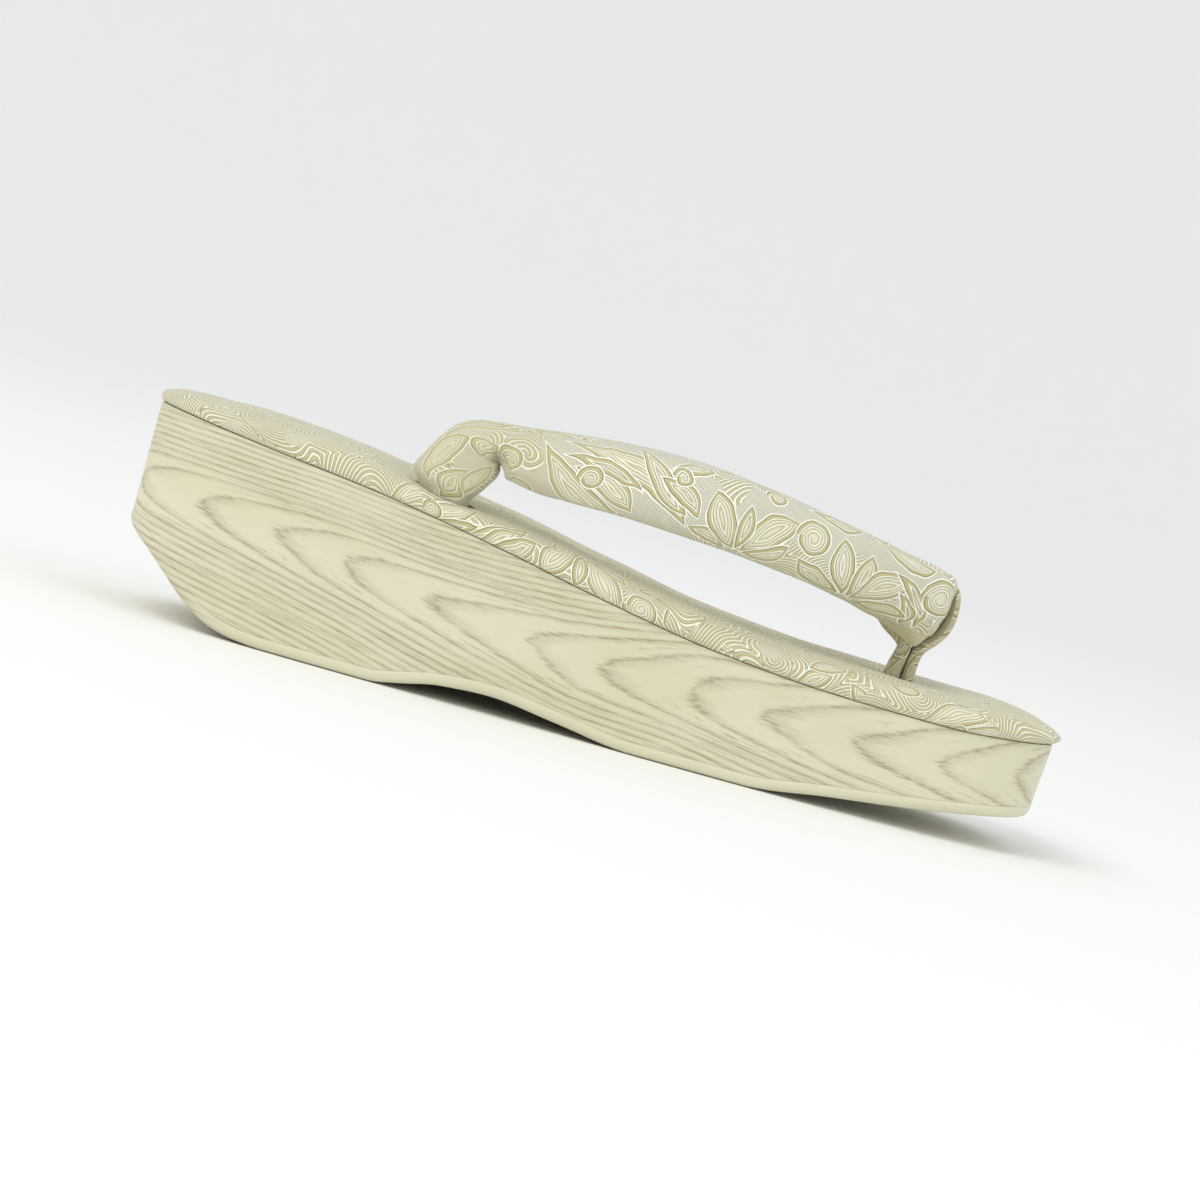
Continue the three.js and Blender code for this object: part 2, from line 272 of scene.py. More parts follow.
@dataclass(frozen=True)
class Last:
    """Outline and heights that sole, sheet and insole share, in millimetres from the heel."""

    length: float = 240.0
    heel_width: float = 76.0
    ball_width: float = 80.0
    heel_square: float = 4.05
    toe_square: float = 3.9
    middle: float = 120.585
    sheet: float = 3.2
    side_taper: float = 2.2
    gap: float = 0.3
    pad_full: float = 8.2
    taper_run: Pair = (0, 50)
    toe_run: Pair = (190, 240)
    widening: Pair = (40, 160)
    lip_heel: float = 0.3
    lip_growth: float = 0.9
    outline_samples: int = 6001
    grain_start: float = 17.0
    grain_x: Table = (0, 15, 32, 55, 76, 97, 121, 143, 164, 189, 213, 230, 240)
    grain_z: Table = (34, 32.3, 30.4, 27.7, 24.1, 21.5, 19.8, 20.2, 18.8, 18.4, 18.4, 19.6, 20)
    crease_x: Table = (0, 30, 60, 90, 120, 150, 180, 210, 240)
    crease_z: Table = (52, 48.6, 45.3, 40.5, 34.8, 30.2, 28.0, 27.5, 29.3)
    ground_x: Table = (
        0, 6, 12, 18, 23, 28, 34, 42, 68, 76, 86, 98, 116, 136, 163, 186, 205, 225, 240,
    )
    ground_z: Table = (
        20.5, 17, 12.5, 7.6, 4.2, 1.9, 0.6, 0, 0, 1.4, 3.6, 4.4, 2.4, 0, 0, 2.9, 5.2, 8, 10,
    )
    crown_x: Table = (
        0, 7, 15, 23, 34, 50, 85, 120, 160, 190, 212, 222, 231, 240,
    )
    crown_z: Table = (
        4.2, 5, 5.8, 6.9, 7.6, 7.9, 8.2, 8, 7.5, 7.6, 7.5, 7.1, 6.3, 4.7,
    )
    dips: tuple[Dip, ...] = (
        Dip(75, -31, 13, 2.2, 7.7, 5.6),
        Dip(75, 31, 13, 2.2, 7.7, 5.6),
        Dip(198.8, 0, 12, 2.0, 4.3, 5.2),
    )

    def crease(self, x: np.ndarray) -> np.ndarray:
        """Height of the upper edge of the sole's side."""
        return smooth_table(x, self.crease_x, self.crease_z)

    def ground(self, x: np.ndarray) -> np.ndarray:
        """Height of the bottom."""
        return smooth_table(x, self.ground_x, self.ground_z)

    def crown(self, x: np.ndarray) -> np.ndarray:
        """Height of the pad over the crease along its middle."""
        return smooth_table(x, self.crown_x, self.crown_z)

    def sheet_height(self, x: np.ndarray) -> np.ndarray:
        """Upright thickness of the bottom sheet, which grows where the bottom slants.

        Args:
            x: Places along the sandal.

        Returns:
            The thickness at each.
        """
        x = np.asarray(x, float)
        slope = (self.ground(x + 1) - self.ground(x - 1)) / 2
        return self.sheet * np.sqrt(1 + slope * slope)

    def taper(self, x: np.ndarray) -> np.ndarray:
        """How far the side's lower edge stands in from its upper edge."""
        toe = 1 - 0.5 * soft_step(x, *self.toe_run)
        return self.side_taper * soft_step(x, *self.taper_run) * toe

    def lip(self, x: np.ndarray) -> np.ndarray:
        """How far the pad passes the sole's upper edge: little at the heel, most at the toe."""
        return self.lip_heel + self.lip_growth * np.asarray(x, float) / self.length

    def dip(self, x: np.ndarray, y: np.ndarray) -> np.ndarray:
        """How far the strap and the toe loop draw the pad down at a place.

        Args:
            x: Places along the sandal.
            y: Places across it.

        Returns:
            The depth at each.
        """
        total = np.zeros_like(np.asarray(x, float))
        for d in self.dips:
            total = total + d.deep * swelling(np.hypot(x - d.x, y - d.y), d.reach)
        return total

    def half_outline(self, count: int) -> np.ndarray:
        """Right half of the outline from heel tip to toe tip, equally spaced.

        Args:
            count: Number of steps.

        Returns:
            count + 1 rows of x and y.
        """
        t = np.linspace(0, math.pi, self.outline_samples)
        c, s = -np.cos(t), np.abs(np.sin(t))
        power = np.where(c < 0, 2 / self.heel_square, 2 / self.toe_square)
        x = self.length / 2 * (1 + np.sign(c) * np.abs(c) ** power)
        width = self.heel_width + (self.ball_width - self.heel_width) * soft_step(x, *self.widening)
        y = -width / 2 * s**power
        run = running(np.hypot(np.diff(x), np.diff(y)))
        even = np.linspace(0, run[-1], count + 1)
        return np.stack([np.interp(even, run, x), np.interp(even, run, y)], axis=1)

    def outward(self, half: np.ndarray) -> np.ndarray:
        """Outward direction, square to the outline, at each row of half_outline.

        Args:
            half: The rows of half_outline.

        Returns:
            A direction for each row.
        """
        before = np.vstack([[half[1, 0], -half[1, 1]], half[:-1]])
        after = np.vstack([half[1:], [half[-2, 0], -half[-2, 1]]])
        along = after - before
        along /= np.linalg.norm(along, axis=1, keepdims=True)
        return np.stack([along[:, 1], -along[:, 0]], axis=1)


@dataclass
class Wiring:
    """Short words for making and joining the nodes of one tree."""

    tree: bpy.types.NodeTree

    def node(self, kind: str, **settings: object) -> bpy.types.Node:
        """Add a node and set its properties.

        Args:
            kind: The node's kind.
            **settings: Its properties by name.

        Returns:
            The node.
        """
        made = self.tree.nodes.new(kind)
        for key, value in settings.items():
            setattr(made, key, value)
        return made

    def put(self, socket: Socket, value: object) -> None:
        """Join a socket to an input, or set the input's own value.

        Args:
            socket: The input.
            value: A socket, a value, or nothing to leave it as it is.
        """
        if isinstance(value, bpy.types.NodeSocket):
            self.tree.links.new(value, socket)
        elif value is not None:
            socket.default_value = value

    def math(self, operation: str, *values: object, clamp: bool = False) -> Socket:
        """Math node on sockets or numbers.

        Args:
            operation: What it works out.
            *values: Its inputs in order.
            clamp: Whether the result stays between 0 and 1.

        Returns:
            The result.
        """
        made = self.node("ShaderNodeMath", operation=operation, use_clamp=clamp)
        for socket, value in zip(made.inputs, values):
            self.put(socket, value)
        return made.outputs[0]

    def times(self, first: object, second: object) -> Socket:
        """Product of two sockets or numbers."""
        return self.math("MULTIPLY", first, second)

    def plus(self, first: object, second: object) -> Socket:
        """Sum of two sockets or numbers."""
        return self.math("ADD", first, second)

    def minus(self, first: object, second: object) -> Socket:
        """First less second, sockets or numbers."""
        return self.math("SUBTRACT", first, second)

    def ramp(self, value: Socket, start: float, end: float, low: float = 0, high: float = 1) -> Socket:
        """Smooth step of a value from start to end.

        Args:
            value: The value.
            start: Value where the step begins.
            end: Value where it ends.
            low: Result at the start.
            high: Result at the end.

        Returns:
            The result.
        """
        made = self.node("ShaderNodeMapRange", interpolation_type="SMOOTHSTEP")
        for key, number in zip(range(5), (value, start, end, low, high)):
            self.put(made.inputs[key], number)
        return made.outputs[0]

    def blend(self, share: object, low: object, high: object) -> Socket:
        """Mix of two numbers.

        Args:
            share: Share of the second.
            low: The first.
            high: The second.

        Returns:
            The mixed number.
        """
        made = self.node("ShaderNodeMix", data_type="FLOAT")
        self.put(made.inputs[0], share)
        self.put(made.inputs[2], low)
        self.put(made.inputs[3], high)
        return made.outputs[0]

    def tint(self, share: object, low: object, high: object) -> Socket:
        """Mix of two colours.

        Args:
            share: Share of the second.
            low: The first.
            high: The second.

        Returns:
            The mixed colour.
        """
        made = self.node("ShaderNodeMix", data_type="RGBA")
        self.put(made.inputs[0], share)
        self.put(made.inputs[6], low)
        self.put(made.inputs[7], high)
        return made.outputs[2]

    def split(self, vector: Socket) -> tuple[Socket, Socket, Socket]:
        """Parts of a vector.

        Args:
            vector: The vector.

        Returns:
            Its three parts.
        """
        made = self.node("ShaderNodeSeparateXYZ")
        self.put(made.inputs[0], vector)
        return made.outputs[0], made.outputs[1], made.outputs[2]

    def join(self, x: object, y: object, z: object = 0.0) -> Socket:
        """Vector from its parts.

        Args:
            x: First part.
            y: Second part.
            z: Third part.

        Returns:
            The vector.
        """
        made = self.node("ShaderNodeCombineXYZ")
        for socket, value in zip(made.inputs, (x, y, z)):
            self.put(socket, value)
        return made.outputs[0]

    def noise(self, place: Socket, scale: float, detail: float) -> Socket:
        """Noise value between about 0.3 and 0.7 at a place.

        Args:
            place: Where it is read.
            scale: Waves per unit of place.
            detail: Levels of finer waves.

        Returns:
            The noise value.
        """
        made = self.node("ShaderNodeTexNoise")
        self.put(made.inputs["Vector"], place)
        made.inputs["Scale"].default_value = scale
        made.inputs["Detail"].default_value = detail
        return made.outputs["Fac"]

    def spaced(self, place: Socket, x: float, y: float) -> Socket:
        """Place multiplied along the cloth and across it.

        Args:
            place: The place.
            x: Factor along the cloth.
            y: Factor across it.

        Returns:
            The new place.
        """
        made = self.node("ShaderNodeVectorMath", operation="MULTIPLY")
        self.put(made.inputs[0], place)
        made.inputs[1].default_value = (x, y, 1.0)
        return made.outputs[0]

    def cloud(self, place: Socket, long: float, wide: float, detail: float) -> Socket:
        """Noise whose lumps are about as long and wide as given, in units of place."""
        return self.noise(self.spaced(place, 1 / long, 1 / wide), 1.0, detail)


def preset(shader: bpy.types.Node, values: dict[str, float]) -> None:
    """Set constants on a shader's own sockets, by name."""
    for name, value in values.items():
        shader.inputs[name].default_value = value


def new_material(name: str) -> tuple[bpy.types.Material, Wiring, bpy.types.Node]:
    """Material with an empty tree but for its shader.

    Args:
        name: The material's name.

    Returns:
        The material, its wiring and its shader node.
    """
    material = bpy.data.materials.new(name)
    material.use_nodes = True
    wiring = Wiring(material.node_tree)
    shader = next(n for n in material.node_tree.nodes if n.type == "BSDF_PRINCIPLED")
    return material, wiring, shader


def cloth_place(wiring: Wiring) -> Socket:
    """Place on the flat cloth, in millimetres, from the piece's own map."""
    made = wiring.node("ShaderNodeUVMap", uv_map="cloth")
    return made.outputs["UV"]


def relief(wiring: Wiring, shader: bpy.types.Node, height: Socket, depth: float, strength: float) -> None:
    """Bump on a shader.

    Args:
        wiring: The material's wiring.
        shader: The shader that takes the bump.
        height: Height from 0 to 1.
        depth: Real height of 1, in millimetres.
        strength: Share of the bump that is used.
    """
    made = wiring.node("ShaderNodeBump")
    made.inputs["Strength"].default_value = strength
    made.inputs["Distance"].default_value = depth * MM
    wiring.put(made.inputs["Height"], height)
    wiring.put(shader.inputs["Normal"], made.outputs["Normal"])


@dataclass(frozen=True)
class GrainLine:
    """One set of printed lines: lines per pitch, shift, and half widths at the apex and on the arms."""

    per_pitch: int
    shift: float
    wide: float
    thin: float


@dataclass(frozen=True)
class WoodPrint:
    """Cream sheet printed with a nested wood grain, round the sole's side."""

    cream: Tone = (221, 217, 191)
    clouded: Tone = (216, 212, 184)
    grain: Tone = (158, 143, 113)
    strength: float = 0.86
    pitch: float = 21.5
    steep: float = 0.030
    bend_at: float = 10.5
    point: float = 1.5
    nose: float = 0.35
    ball_run: Pair = (60.0, 190.0)
    spread_above: Pair = (1.04, 0.92)
    spread_below: Pair = (1.34, 0.80)
    wander: float = 22.0
    jag: float = 8.0
    main: GrainLine = GrainLine(1, 0.0, 1.7, 0.62)
    halo: GrainLine = GrainLine(1, 0.93, 3.6, 1.1)
    halo_share: float = 0.42
    fine: GrainLine = GrainLine(3, 0.28, 0.5, 0.34)
    fine_share: float = 0.7
    hair_share: float = 0.07
    faded: bool = False
    fade_x: Pair = (-0.102, -0.086)

    def material(self) -> bpy.types.Material:
        """Print that reads millimetres of the side: along it, and up from the grain's middle.

        Returns:
            The material.
        """
        material, w, shader = new_material("wood_print_faded" if self.faded else "wood_print")
        place = cloth_place(w)
        dark, streak = self.darkness(w, place, *self.nested(w, place))
        body = w.cloud(place, 60, 20, 2.0)
        base = w.tint(w.ramp(body, 0.35, 0.65), linear(*self.clouded), linear(*self.cream))
        hair = w.times(w.ramp(streak, 0.55, 0.72), 0.0 if self.faded else self.hair_share)
        base = w.tint(hair, base, linear(*self.grain))
        colour = w.tint(w.times(dark, self.strength), base, linear(*self.grain))
        w.put(shader.inputs["Base Color"], colour)
        w.put(shader.inputs["Roughness"], w.ramp(streak, 0.3, 0.7, 0.42, 0.52))
        preset(shader, {"Specular IOR Level": 0.4})
        relief(w, shader, w.minus(1.0, w.times(dark, 0.7)), 0.05, 0.5)
        return material

    def nested(self, w: Wiring, place: Socket) -> tuple[Socket, Socket]:
        """Nested arches of the grain, their apexes towards the heel.

        Args:
            w: The material's wiring.
            place: Place on the side.

        Returns:
            The field that grows by a pitch from arch to arch, and how fast it changes.
        """
        along, up, _ = w.split(place)
        far = w.math("ABSOLUTE", up)
        above = w.math("GREATER_THAN", up, 0.0)
        forward = w.ramp(along, *self.ball_run)
        spread = w.blend(above, w.blend(forward, *self.spread_above), w.blend(forward, *self.spread_below))
        wide = w.times(far, spread)
        near = w.math("MINIMUM", wide, self.bend_at)
        cube = w.times(w.times(near, near), near)
        straight = w.times(w.minus(wide, near), 3 * self.steep * self.bend_at**2)
        nose = w.math("SQRT", w.plus(w.times(far, far), self.nose))
        arm = w.plus(w.times(cube, self.steep), straight)
        arm = w.plus(arm, w.times(nose, self.point))
        slope = w.times(w.times(near, near), 3 * self.steep)
        slope = w.plus(slope, w.ramp(far, 0.0, 2.0, 0.0, self.point))
        steepness = w.math("SQRT", w.plus(w.times(slope, slope), 1.0))
        wander = w.times(w.minus(w.cloud(place, 46, 15, 1.0), 0.5), self.wander)
        jag = w.times(w.minus(w.cloud(place, 6, 0.6, 3.0), 0.5), self.jag)
        return w.plus(w.minus(along, arm), w.plus(wander, jag)), steepness

    def darkness(self, w: Wiring, place: Socket, drawn: Socket, steep: Socket) -> tuple[Socket, Socket]:
        """Darkness of all printed lines together.

        Args:
            w: The material's wiring.
            place: Place on the side.
            drawn: The arches' field.
            steep: How fast the field changes.

        Returns:
            Darkness from 0 to 1, and the streaks that break the lines.
        """
        main = self.lines(w, drawn, steep, self.main)
        halo = self.lines(w, drawn, steep, self.halo)
        main = w.math("MAXIMUM", main, w.times(halo, self.halo_share))
        fine = self.lines(w, drawn, steep, self.fine)
        on_arms = w.ramp(steep, 2.0, 6.0)
        thin = w.cloud(place, 30, 2.2, 2.0)
        fine = w.times(w.times(fine, on_arms), w.ramp(thin, 0.42, 0.66))
        fade = w.cloud(place, 24, 4, 2.0)
        main = w.times(main, w.ramp(fade, 0.3, 0.6, 0.55, 1.0))
        dark = w.math("MAXIMUM", main, w.times(fine, self.fine_share))
        streak = w.cloud(place, 9, 0.35, 2.0)
        dark = w.times(dark, w.ramp(streak, 0.34, 0.58, 0.5, 1.0))
        if self.faded:
            x, _, _ = w.split(w.node("ShaderNodeTexCoord").outputs["Object"])
            dark = w.times(dark, w.ramp(x, *self.fade_x, 1.0, 0.0))
        return dark, streak

    def lines(self, w: Wiring, drawn: Socket, steep: Socket, line: GrainLine) -> Socket:
        """Darkness of one set of lines, one where the field passes each whole pitch.

        Args:
            w: The material's wiring.
            drawn: The arches' field, in millimetres along the side.
            steep: How much faster than one the field changes there.
            line: The set of lines.

        Returns:
            Darkness from 0 to 1.
        """
        pitch = self.pitch / line.per_pitch
        turns = w.plus(w.math("DIVIDE", drawn, pitch), 0.5 + line.shift)
        off = w.math("ABSOLUTE", w.minus(w.math("FRACT", turns), 0.5))
        off = w.math("DIVIDE", w.times(off, pitch), steep)
        half = w.ramp(steep, 1.0, 4.5, line.wide, line.thin)
        return w.math("SUBTRACT", 1.0, w.math("DIVIDE", off, half), clamp=True)


@dataclass(frozen=True)
class PlainSheet:
    """Plain cream bottom sheet."""

    cream: Tone = (221, 217, 191)
    clouded: Tone = (216, 212, 184)

    def material(self) -> bpy.types.Material:
        """Satin cream with a faint cloud and a fine pebble.

        Returns:
            The material.
        """
        material, w, shader = new_material("plain_sheet")
        place = w.node("ShaderNodeTexCoord").outputs["Object"]
        cloud = w.noise(place, 40.0, 3.0)
        colour = w.tint(w.ramp(cloud, 0.35, 0.65), linear(*self.clouded), linear(*self.cream))
        w.put(shader.inputs["Base Color"], colour)
        preset(shader, {"Roughness": 0.55})
        relief(w, shader, w.noise(place, 2500.0, 2.0), 0.03, 0.4)
        return material


@dataclass(frozen=True)
class Petal:
    """Leaf, petal or frond of the woven pattern, from its base to its tip, in millimetres."""

    base: Pair
    tip: Pair
    wide: float
    bow: float = 0.0


@dataclass(frozen=True)
class Curl:
    """Round curl of the woven pattern, in millimetres on the cloth."""

    middle: Pair
    radius: float


PETALS = (
    Petal((76.0, 5.4), (91.0, 2.0), 3.6, 0.6),
    Petal((67.0, 8.0), (79.5, 10.4), 6.6, -1.2),
    Petal((63.5, 9.0), (72.0, 16.2), 4.8, 0.8),
    Petal((66.0, 16.5), (75.5, 21.0), 5.2, 1.0),
    Petal((77.0, 16.2), (84.5, 11.6), 4.6, -0.8),
    Petal((101.0, 5.4), (132.0, 21.4), 6.6, -3.6),
    Petal((95.6, 7.6), (115.5, 23.4), 6.8, 3.6),
    Petal((103.6, 12.4), (118.6, 21.4), 5.8, -1.4),
    Petal((101.0, 9.6), (119.5, 15.4), 3.4, -1.3),
    Petal((117.6, 1.4), (131.4, 18.6), 5.0, 1.8),
    Petal((125.4, 8.8), (136.0, 5.0), 3.6, -0.6),
    Petal((123.6, 11.4), (134.4, 17.8), 4.8, -1.4),
    Petal((143.8, 24.8), (133.0, 21.2), 3.6, 0.8),
    Petal((145.4, 23.8), (137.2, 10.4), 6.8, -0.9),
    Petal((147.6, 23.6), (158.8, 11.0), 7.2, -1.5),
    Petal((146.2, 23.4), (146.2, 11.6), 3.7, 0.3),
    Petal((148.4, 24.2), (158.2, 17.8), 4.2, 0.9),
    Petal((142.0, 2.8), (156.0, 3.4), 3.2, 0.8),
    Petal((161.5, 5.6), (176.0, 4.6), 3.4, 0.9),
    Petal((180.0, 5.4), (196.4, 7.4), 5.6, 1.2),
    Petal((175.6, 24.0), (161.6, 19.4), 4.8, -0.8),
    Petal((176.6, 23.6), (170.8, 9.8), 5.8, -0.8),
    Petal((177.8, 23.4), (178.6, 11.0), 4.6, 0.5),
    Petal((178.8, 23.6), (190.8, 13.0), 6.8, -1.8),
    Petal((186.0, 12.0), (196.6, 23.4), 3.4, -2.6),
    Petal((188.6, 16.4), (194.4, 24.2), 3.0, -1.4),
    Petal((180.0, 25.0), (193.4, 21.6), 4.0, -0.5),
    Petal((96.0, 27.2), (112.0, 26.4), 3.0, 0.4),
    Petal((156.0, 27.0), (168.0, 26.2), 2.8, 0.4),
)
CURLS = (
    Curl((87.7, 14.0), 2.9),
    Curl((107.4, 14.6), 2.7),
    Curl((128.6, 9.8), 2.2),
    Curl((163.2, 13.2), 4.1),
    Curl((181.2, 3.6), 2.2),
    Curl((198.8, 14.2), 4.6),
    Curl((91.0, 22.5), 3.4),
    Curl((152.0, 6.6), 2.4),
)


@dataclass(frozen=True)
class BrocadeThreads:
    """Thread colours and pitches of the brocade."""

    ivory: Tone = (253, 252, 244)
    pale: Tone = (229, 226, 206)
    gold: Tone = (194, 186, 134)
    umber: Tone = (138, 128, 84)
    silver: Tone = (243, 241, 227)
    shade: Tone = (163, 156, 122)
    echo: float = 1.15
    wave_pitch: float = 1.12
    dot: float = 0.8
    outline: float = 0.5


class BrocadeGround(Enum):
    """Share of the cloth that charted petals cover, the rest being combed waves."""

    PETALS = "petals on a dotted ground"
    WAVES = "combed waves with a few petals"


@dataclass
class Brocade:
    """Brocade cloth: raised ivory lines, gold fill and a dotted silver ground."""

    ground: BrocadeGround
    threads: BrocadeThreads = BrocadeThreads()
    name: str = "strap_brocade"
    root_gold: float = 0.0
    root_u: Pair = (120.0, 82.0)
    tile_start: float = 62.0
    tile_u: float = 141.0
    tile_v: float = 28.5
    row_shift: float = 53.0
    belly: float = 0.28
    least_belly: float = 0.4
    bare: float = 9.0
    sway: float = 2.4
    wave: float = 19.0
    wave_warp: float = 17.0
    wave_swell: float = 7.0
    curl_arms: int = 4
    comb: float = 0.46
    comb_slant: float = 0.35
    wave_patch: Pair = (0.55, 0.57)
    dotted_patch: Pair = (0.65, 0.67)
    petals_over: float = 0.51
    aged: Tone = (204, 196, 152)

    def petal_depth(self, w: Wiring, place: Socket) -> Socket:
        """Depth inside the charted petal or curl on top, above zero on bare ground.

        Args:
            w: The material's wiring.
            place: Place on the cloth.

        Returns:
            The depth, below zero inside.
        """
        u, v, _ = w.split(place)
        row = w.math("FLOOR", w.math("DIVIDE", v, self.tile_v))
        v_in = w.minus(v, w.times(row, self.tile_v))
        moved = w.plus(u, w.times(row, self.row_shift))
        u_in = w.math("WRAP", moved, self.tile_start + self.tile_u, self.tile_start)
        depth: object = self.bare
        for p in PETALS:
            depth = self.laid_over(w, self.one_petal(w, p, u_in, v_in), depth)
        for c in CURLS:
            du, dv = w.minus(u_in, c.middle[0]), w.minus(v_in, c.middle[1])
            reach = w.math("SQRT", w.plus(w.times(du, du), w.times(dv, dv)))
            angle = w.times(w.math("ARCTAN2", dv, du), self.threads.echo / (2 * math.pi))
            depth = self.laid_over(w, w.minus(w.plus(reach, angle), c.radius), depth)
        return depth

    def one_petal(self, w: Wiring, p: Petal, u: Socket, v: Socket) -> Socket:
        """Depth inside one petal, drawn between two arcs that meet at its ends.

        Args:
            w: The material's wiring.
            p: The petal.
            u: Place along the cloth.
            v: Place across the cloth.

        Returns:
            Millimetres from its edge, below zero inside.
        """
        run, drop = (p.tip[0] - p.base[0]) / 2, (p.tip[1] - p.base[1]) / 2
        middle_u, middle_v = p.base[0] + run, p.base[1] + drop
        half, wide = math.hypot(run, drop), p.wide / 2
        c, d = run / half, drop / half
        x = w.math("MULTIPLY_ADD", v, d / half, -(middle_u * c + middle_v * d) / half)
        x = w.math("MULTIPLY_ADD", u, c / half, x)
        y = w.math("MULTIPLY_ADD", v, c / wide, (middle_u * d - middle_v * c) / wide)
        y = w.math("MULTIPLY_ADD", u, -d / wide, y)
        full = w.math("MAXIMUM", w.math("MULTIPLY_ADD", x, self.belly, 1.0), self.least_belly)
        hollow = w.times(w.math("MULTIPLY_ADD", x, x, -1.0), full)
        bent = w.math("ABSOLUTE", w.math("MULTIPLY_ADD", hollow, p.bow / wide, y))
        return w.times(w.plus(bent, hollow), wide)

    def laid_over(self, w: Wiring, above: Socket, below: object) -> Socket:
        """Depth of a motif that hides what is under it."""
        return w.blend(w.math("LESS_THAN", above, self.threads.outline - 0.04), below, above)

    def wave_turns(self, w: Wiring, place: Socket) -> Socket:
        """Field whose whole numbers are the lines of the combed waves.

        Args:
            w: The material's wiring.
            place: Place on the cloth.

        Returns:
            The field, which grows by one from line to line.
        """
        warp = w.node("ShaderNodeTexNoise")
        w.put(warp.inputs["Vector"], w.spaced(place, 1 / 26, 1 / 26))
        warp.inputs["Scale"].default_value = 1.0
        warp.inputs["Detail"].default_value = 1.0
        push = w.node("ShaderNodeVectorMath", operation="MULTIPLY_ADD")
        w.put(push.inputs[0], warp.outputs["Color"])
        push.inputs[1].default_value = (self.wave_warp, self.wave_warp, 0)
        w.put(push.inputs[2], place)
        cells = w.node("ShaderNodeTexVoronoi", feature="SMOOTH_F1", voronoi_dimensions="2D")
        w.put(cells.inputs["Vector"], push.outputs[0])
        cells.inputs["Scale"].default_value = 1 / self.wave
        cells.inputs["Smoothness"].default_value = 0.2
        swell = w.cloud(place, 34, 20, 1.0)
        rings = w.times(cells.outputs["Distance"], self.wave / self.threads.wave_pitch)
        away = w.node("ShaderNodeVectorMath", operation="SUBTRACT")
        w.put(away.inputs[0], push.outputs[0])
        w.put(away.inputs[1], cells.outputs["Position"])
        out_u, out_v, _ = w.split(away.outputs[0])
        angle = w.math("ARCTAN2", out_v, out_u)
        curled = w.math("MULTIPLY_ADD", angle, self.curl_arms / (2 * math.pi), rings)
        return w.math("MULTIPLY_ADD", swell, self.wave_swell, curled)

    def shaded(self, w: Wiring, value: Socket, stops: Sequence[tuple[float, Tone]]) -> Socket:
        """Colour of a depth, from a table of depths and threads.

        Args:
            w: The material's wiring.
            value: The depth.
            stops: Depths, falling, each with its thread.

        Returns:
            The colour.
        """
        top, low = stops[0][0], stops[-1][0]
        ramp = w.node("ShaderNodeValToRGB")
        w.put(ramp.inputs[0], w.math("DIVIDE", w.minus(top, value), top - low, clamp=True))
        bar = ramp.color_ramp
        for k, (depth, thread) in enumerate(stops):
            at = (top - depth) / (top - low)
            stop = bar.elements[k] if k < 2 else bar.elements.new(at)
            stop.position = at
            stop.color = linear(*thread)
        return ramp.outputs[0]

    def petal_colour(self, w: Wiring, depth: Socket) -> Socket:
        """Threads of a petal from its outline inwards.

        Args:
            w: The material's wiring.
            depth: Depth inside the petal.

        Returns:
            The colour.
        """
        t = self.threads
        return self.shaded(w, depth, (
            (t.outline, t.ivory), (0.10, t.ivory), (0.02, t.umber), (-0.14, t.umber), (-0.24, t.gold),
            (-0.86, t.gold), (-0.96, t.ivory), (-1.20, t.ivory), (-1.30, t.umber), (-1.40, t.gold),
            (-1.52, t.pale), (-2.02, t.pale), (-2.12, t.gold), (-2.28, t.gold), (-2.38, t.ivory),
            (-2.80, t.pale), (-2.90, t.gold), (-3.06, t.gold), (-3.16, t.pale), (-4.60, t.pale),
        ))

    def wave_colour(self, w: Wiring, turns: Socket) -> Socket:
        """Threads of the combed waves across one pitch.

        Args:
            w: The material's wiring.
            turns: The waves' field.

        Returns:
            The colour.
        """
        t = self.threads
        phase = w.times(w.math("FRACT", turns), -1.0)
        return self.shaded(w, phase, (
            (0.0, t.gold), (-0.08, t.umber), (-0.18, t.ivory), (-0.44, t.ivory), (-0.56, t.gold),
            (-0.80, t.gold), (-0.88, t.pale), (-1.0, t.gold),
        ))

    def dotted(self, w: Wiring, u: Socket, v: Socket) -> Socket:
        """Colour of the silver ground: a slanting check of fine dots.

        Args:
            w: The material's wiring.
            u: Place along the cloth.
            v: Place across it.

        Returns:
            The colour.
        """
        wide = 2 * math.pi / self.threads.dot
        weft = w.math("SINE", w.times(w.plus(u, v), wide))
        warp = w.math("SINE", w.times(w.minus(u, v), wide))
        dots = w.ramp(w.times(weft, warp), -0.55, 0.15)
        return w.tint(dots, linear(*self.threads.shade), linear(*self.threads.silver))

    def swayed(self, w: Wiring, place: Socket) -> Socket:
        """Place moved a little across the cloth, so that no petal is quite like its copy.

        Args:
            w: The material's wiring.
            place: Place on the cloth.

        Returns:
            The moved place.
        """
        sway = w.noise(place, 0.16, 1.0)
        moved = w.node("ShaderNodeVectorMath", operation="ADD")
        w.put(moved.inputs[0], place)
        w.put(moved.inputs[1], w.join(0.0, w.math("MULTIPLY_ADD", sway, self.sway, -self.sway / 2)))
        return moved.outputs[0]

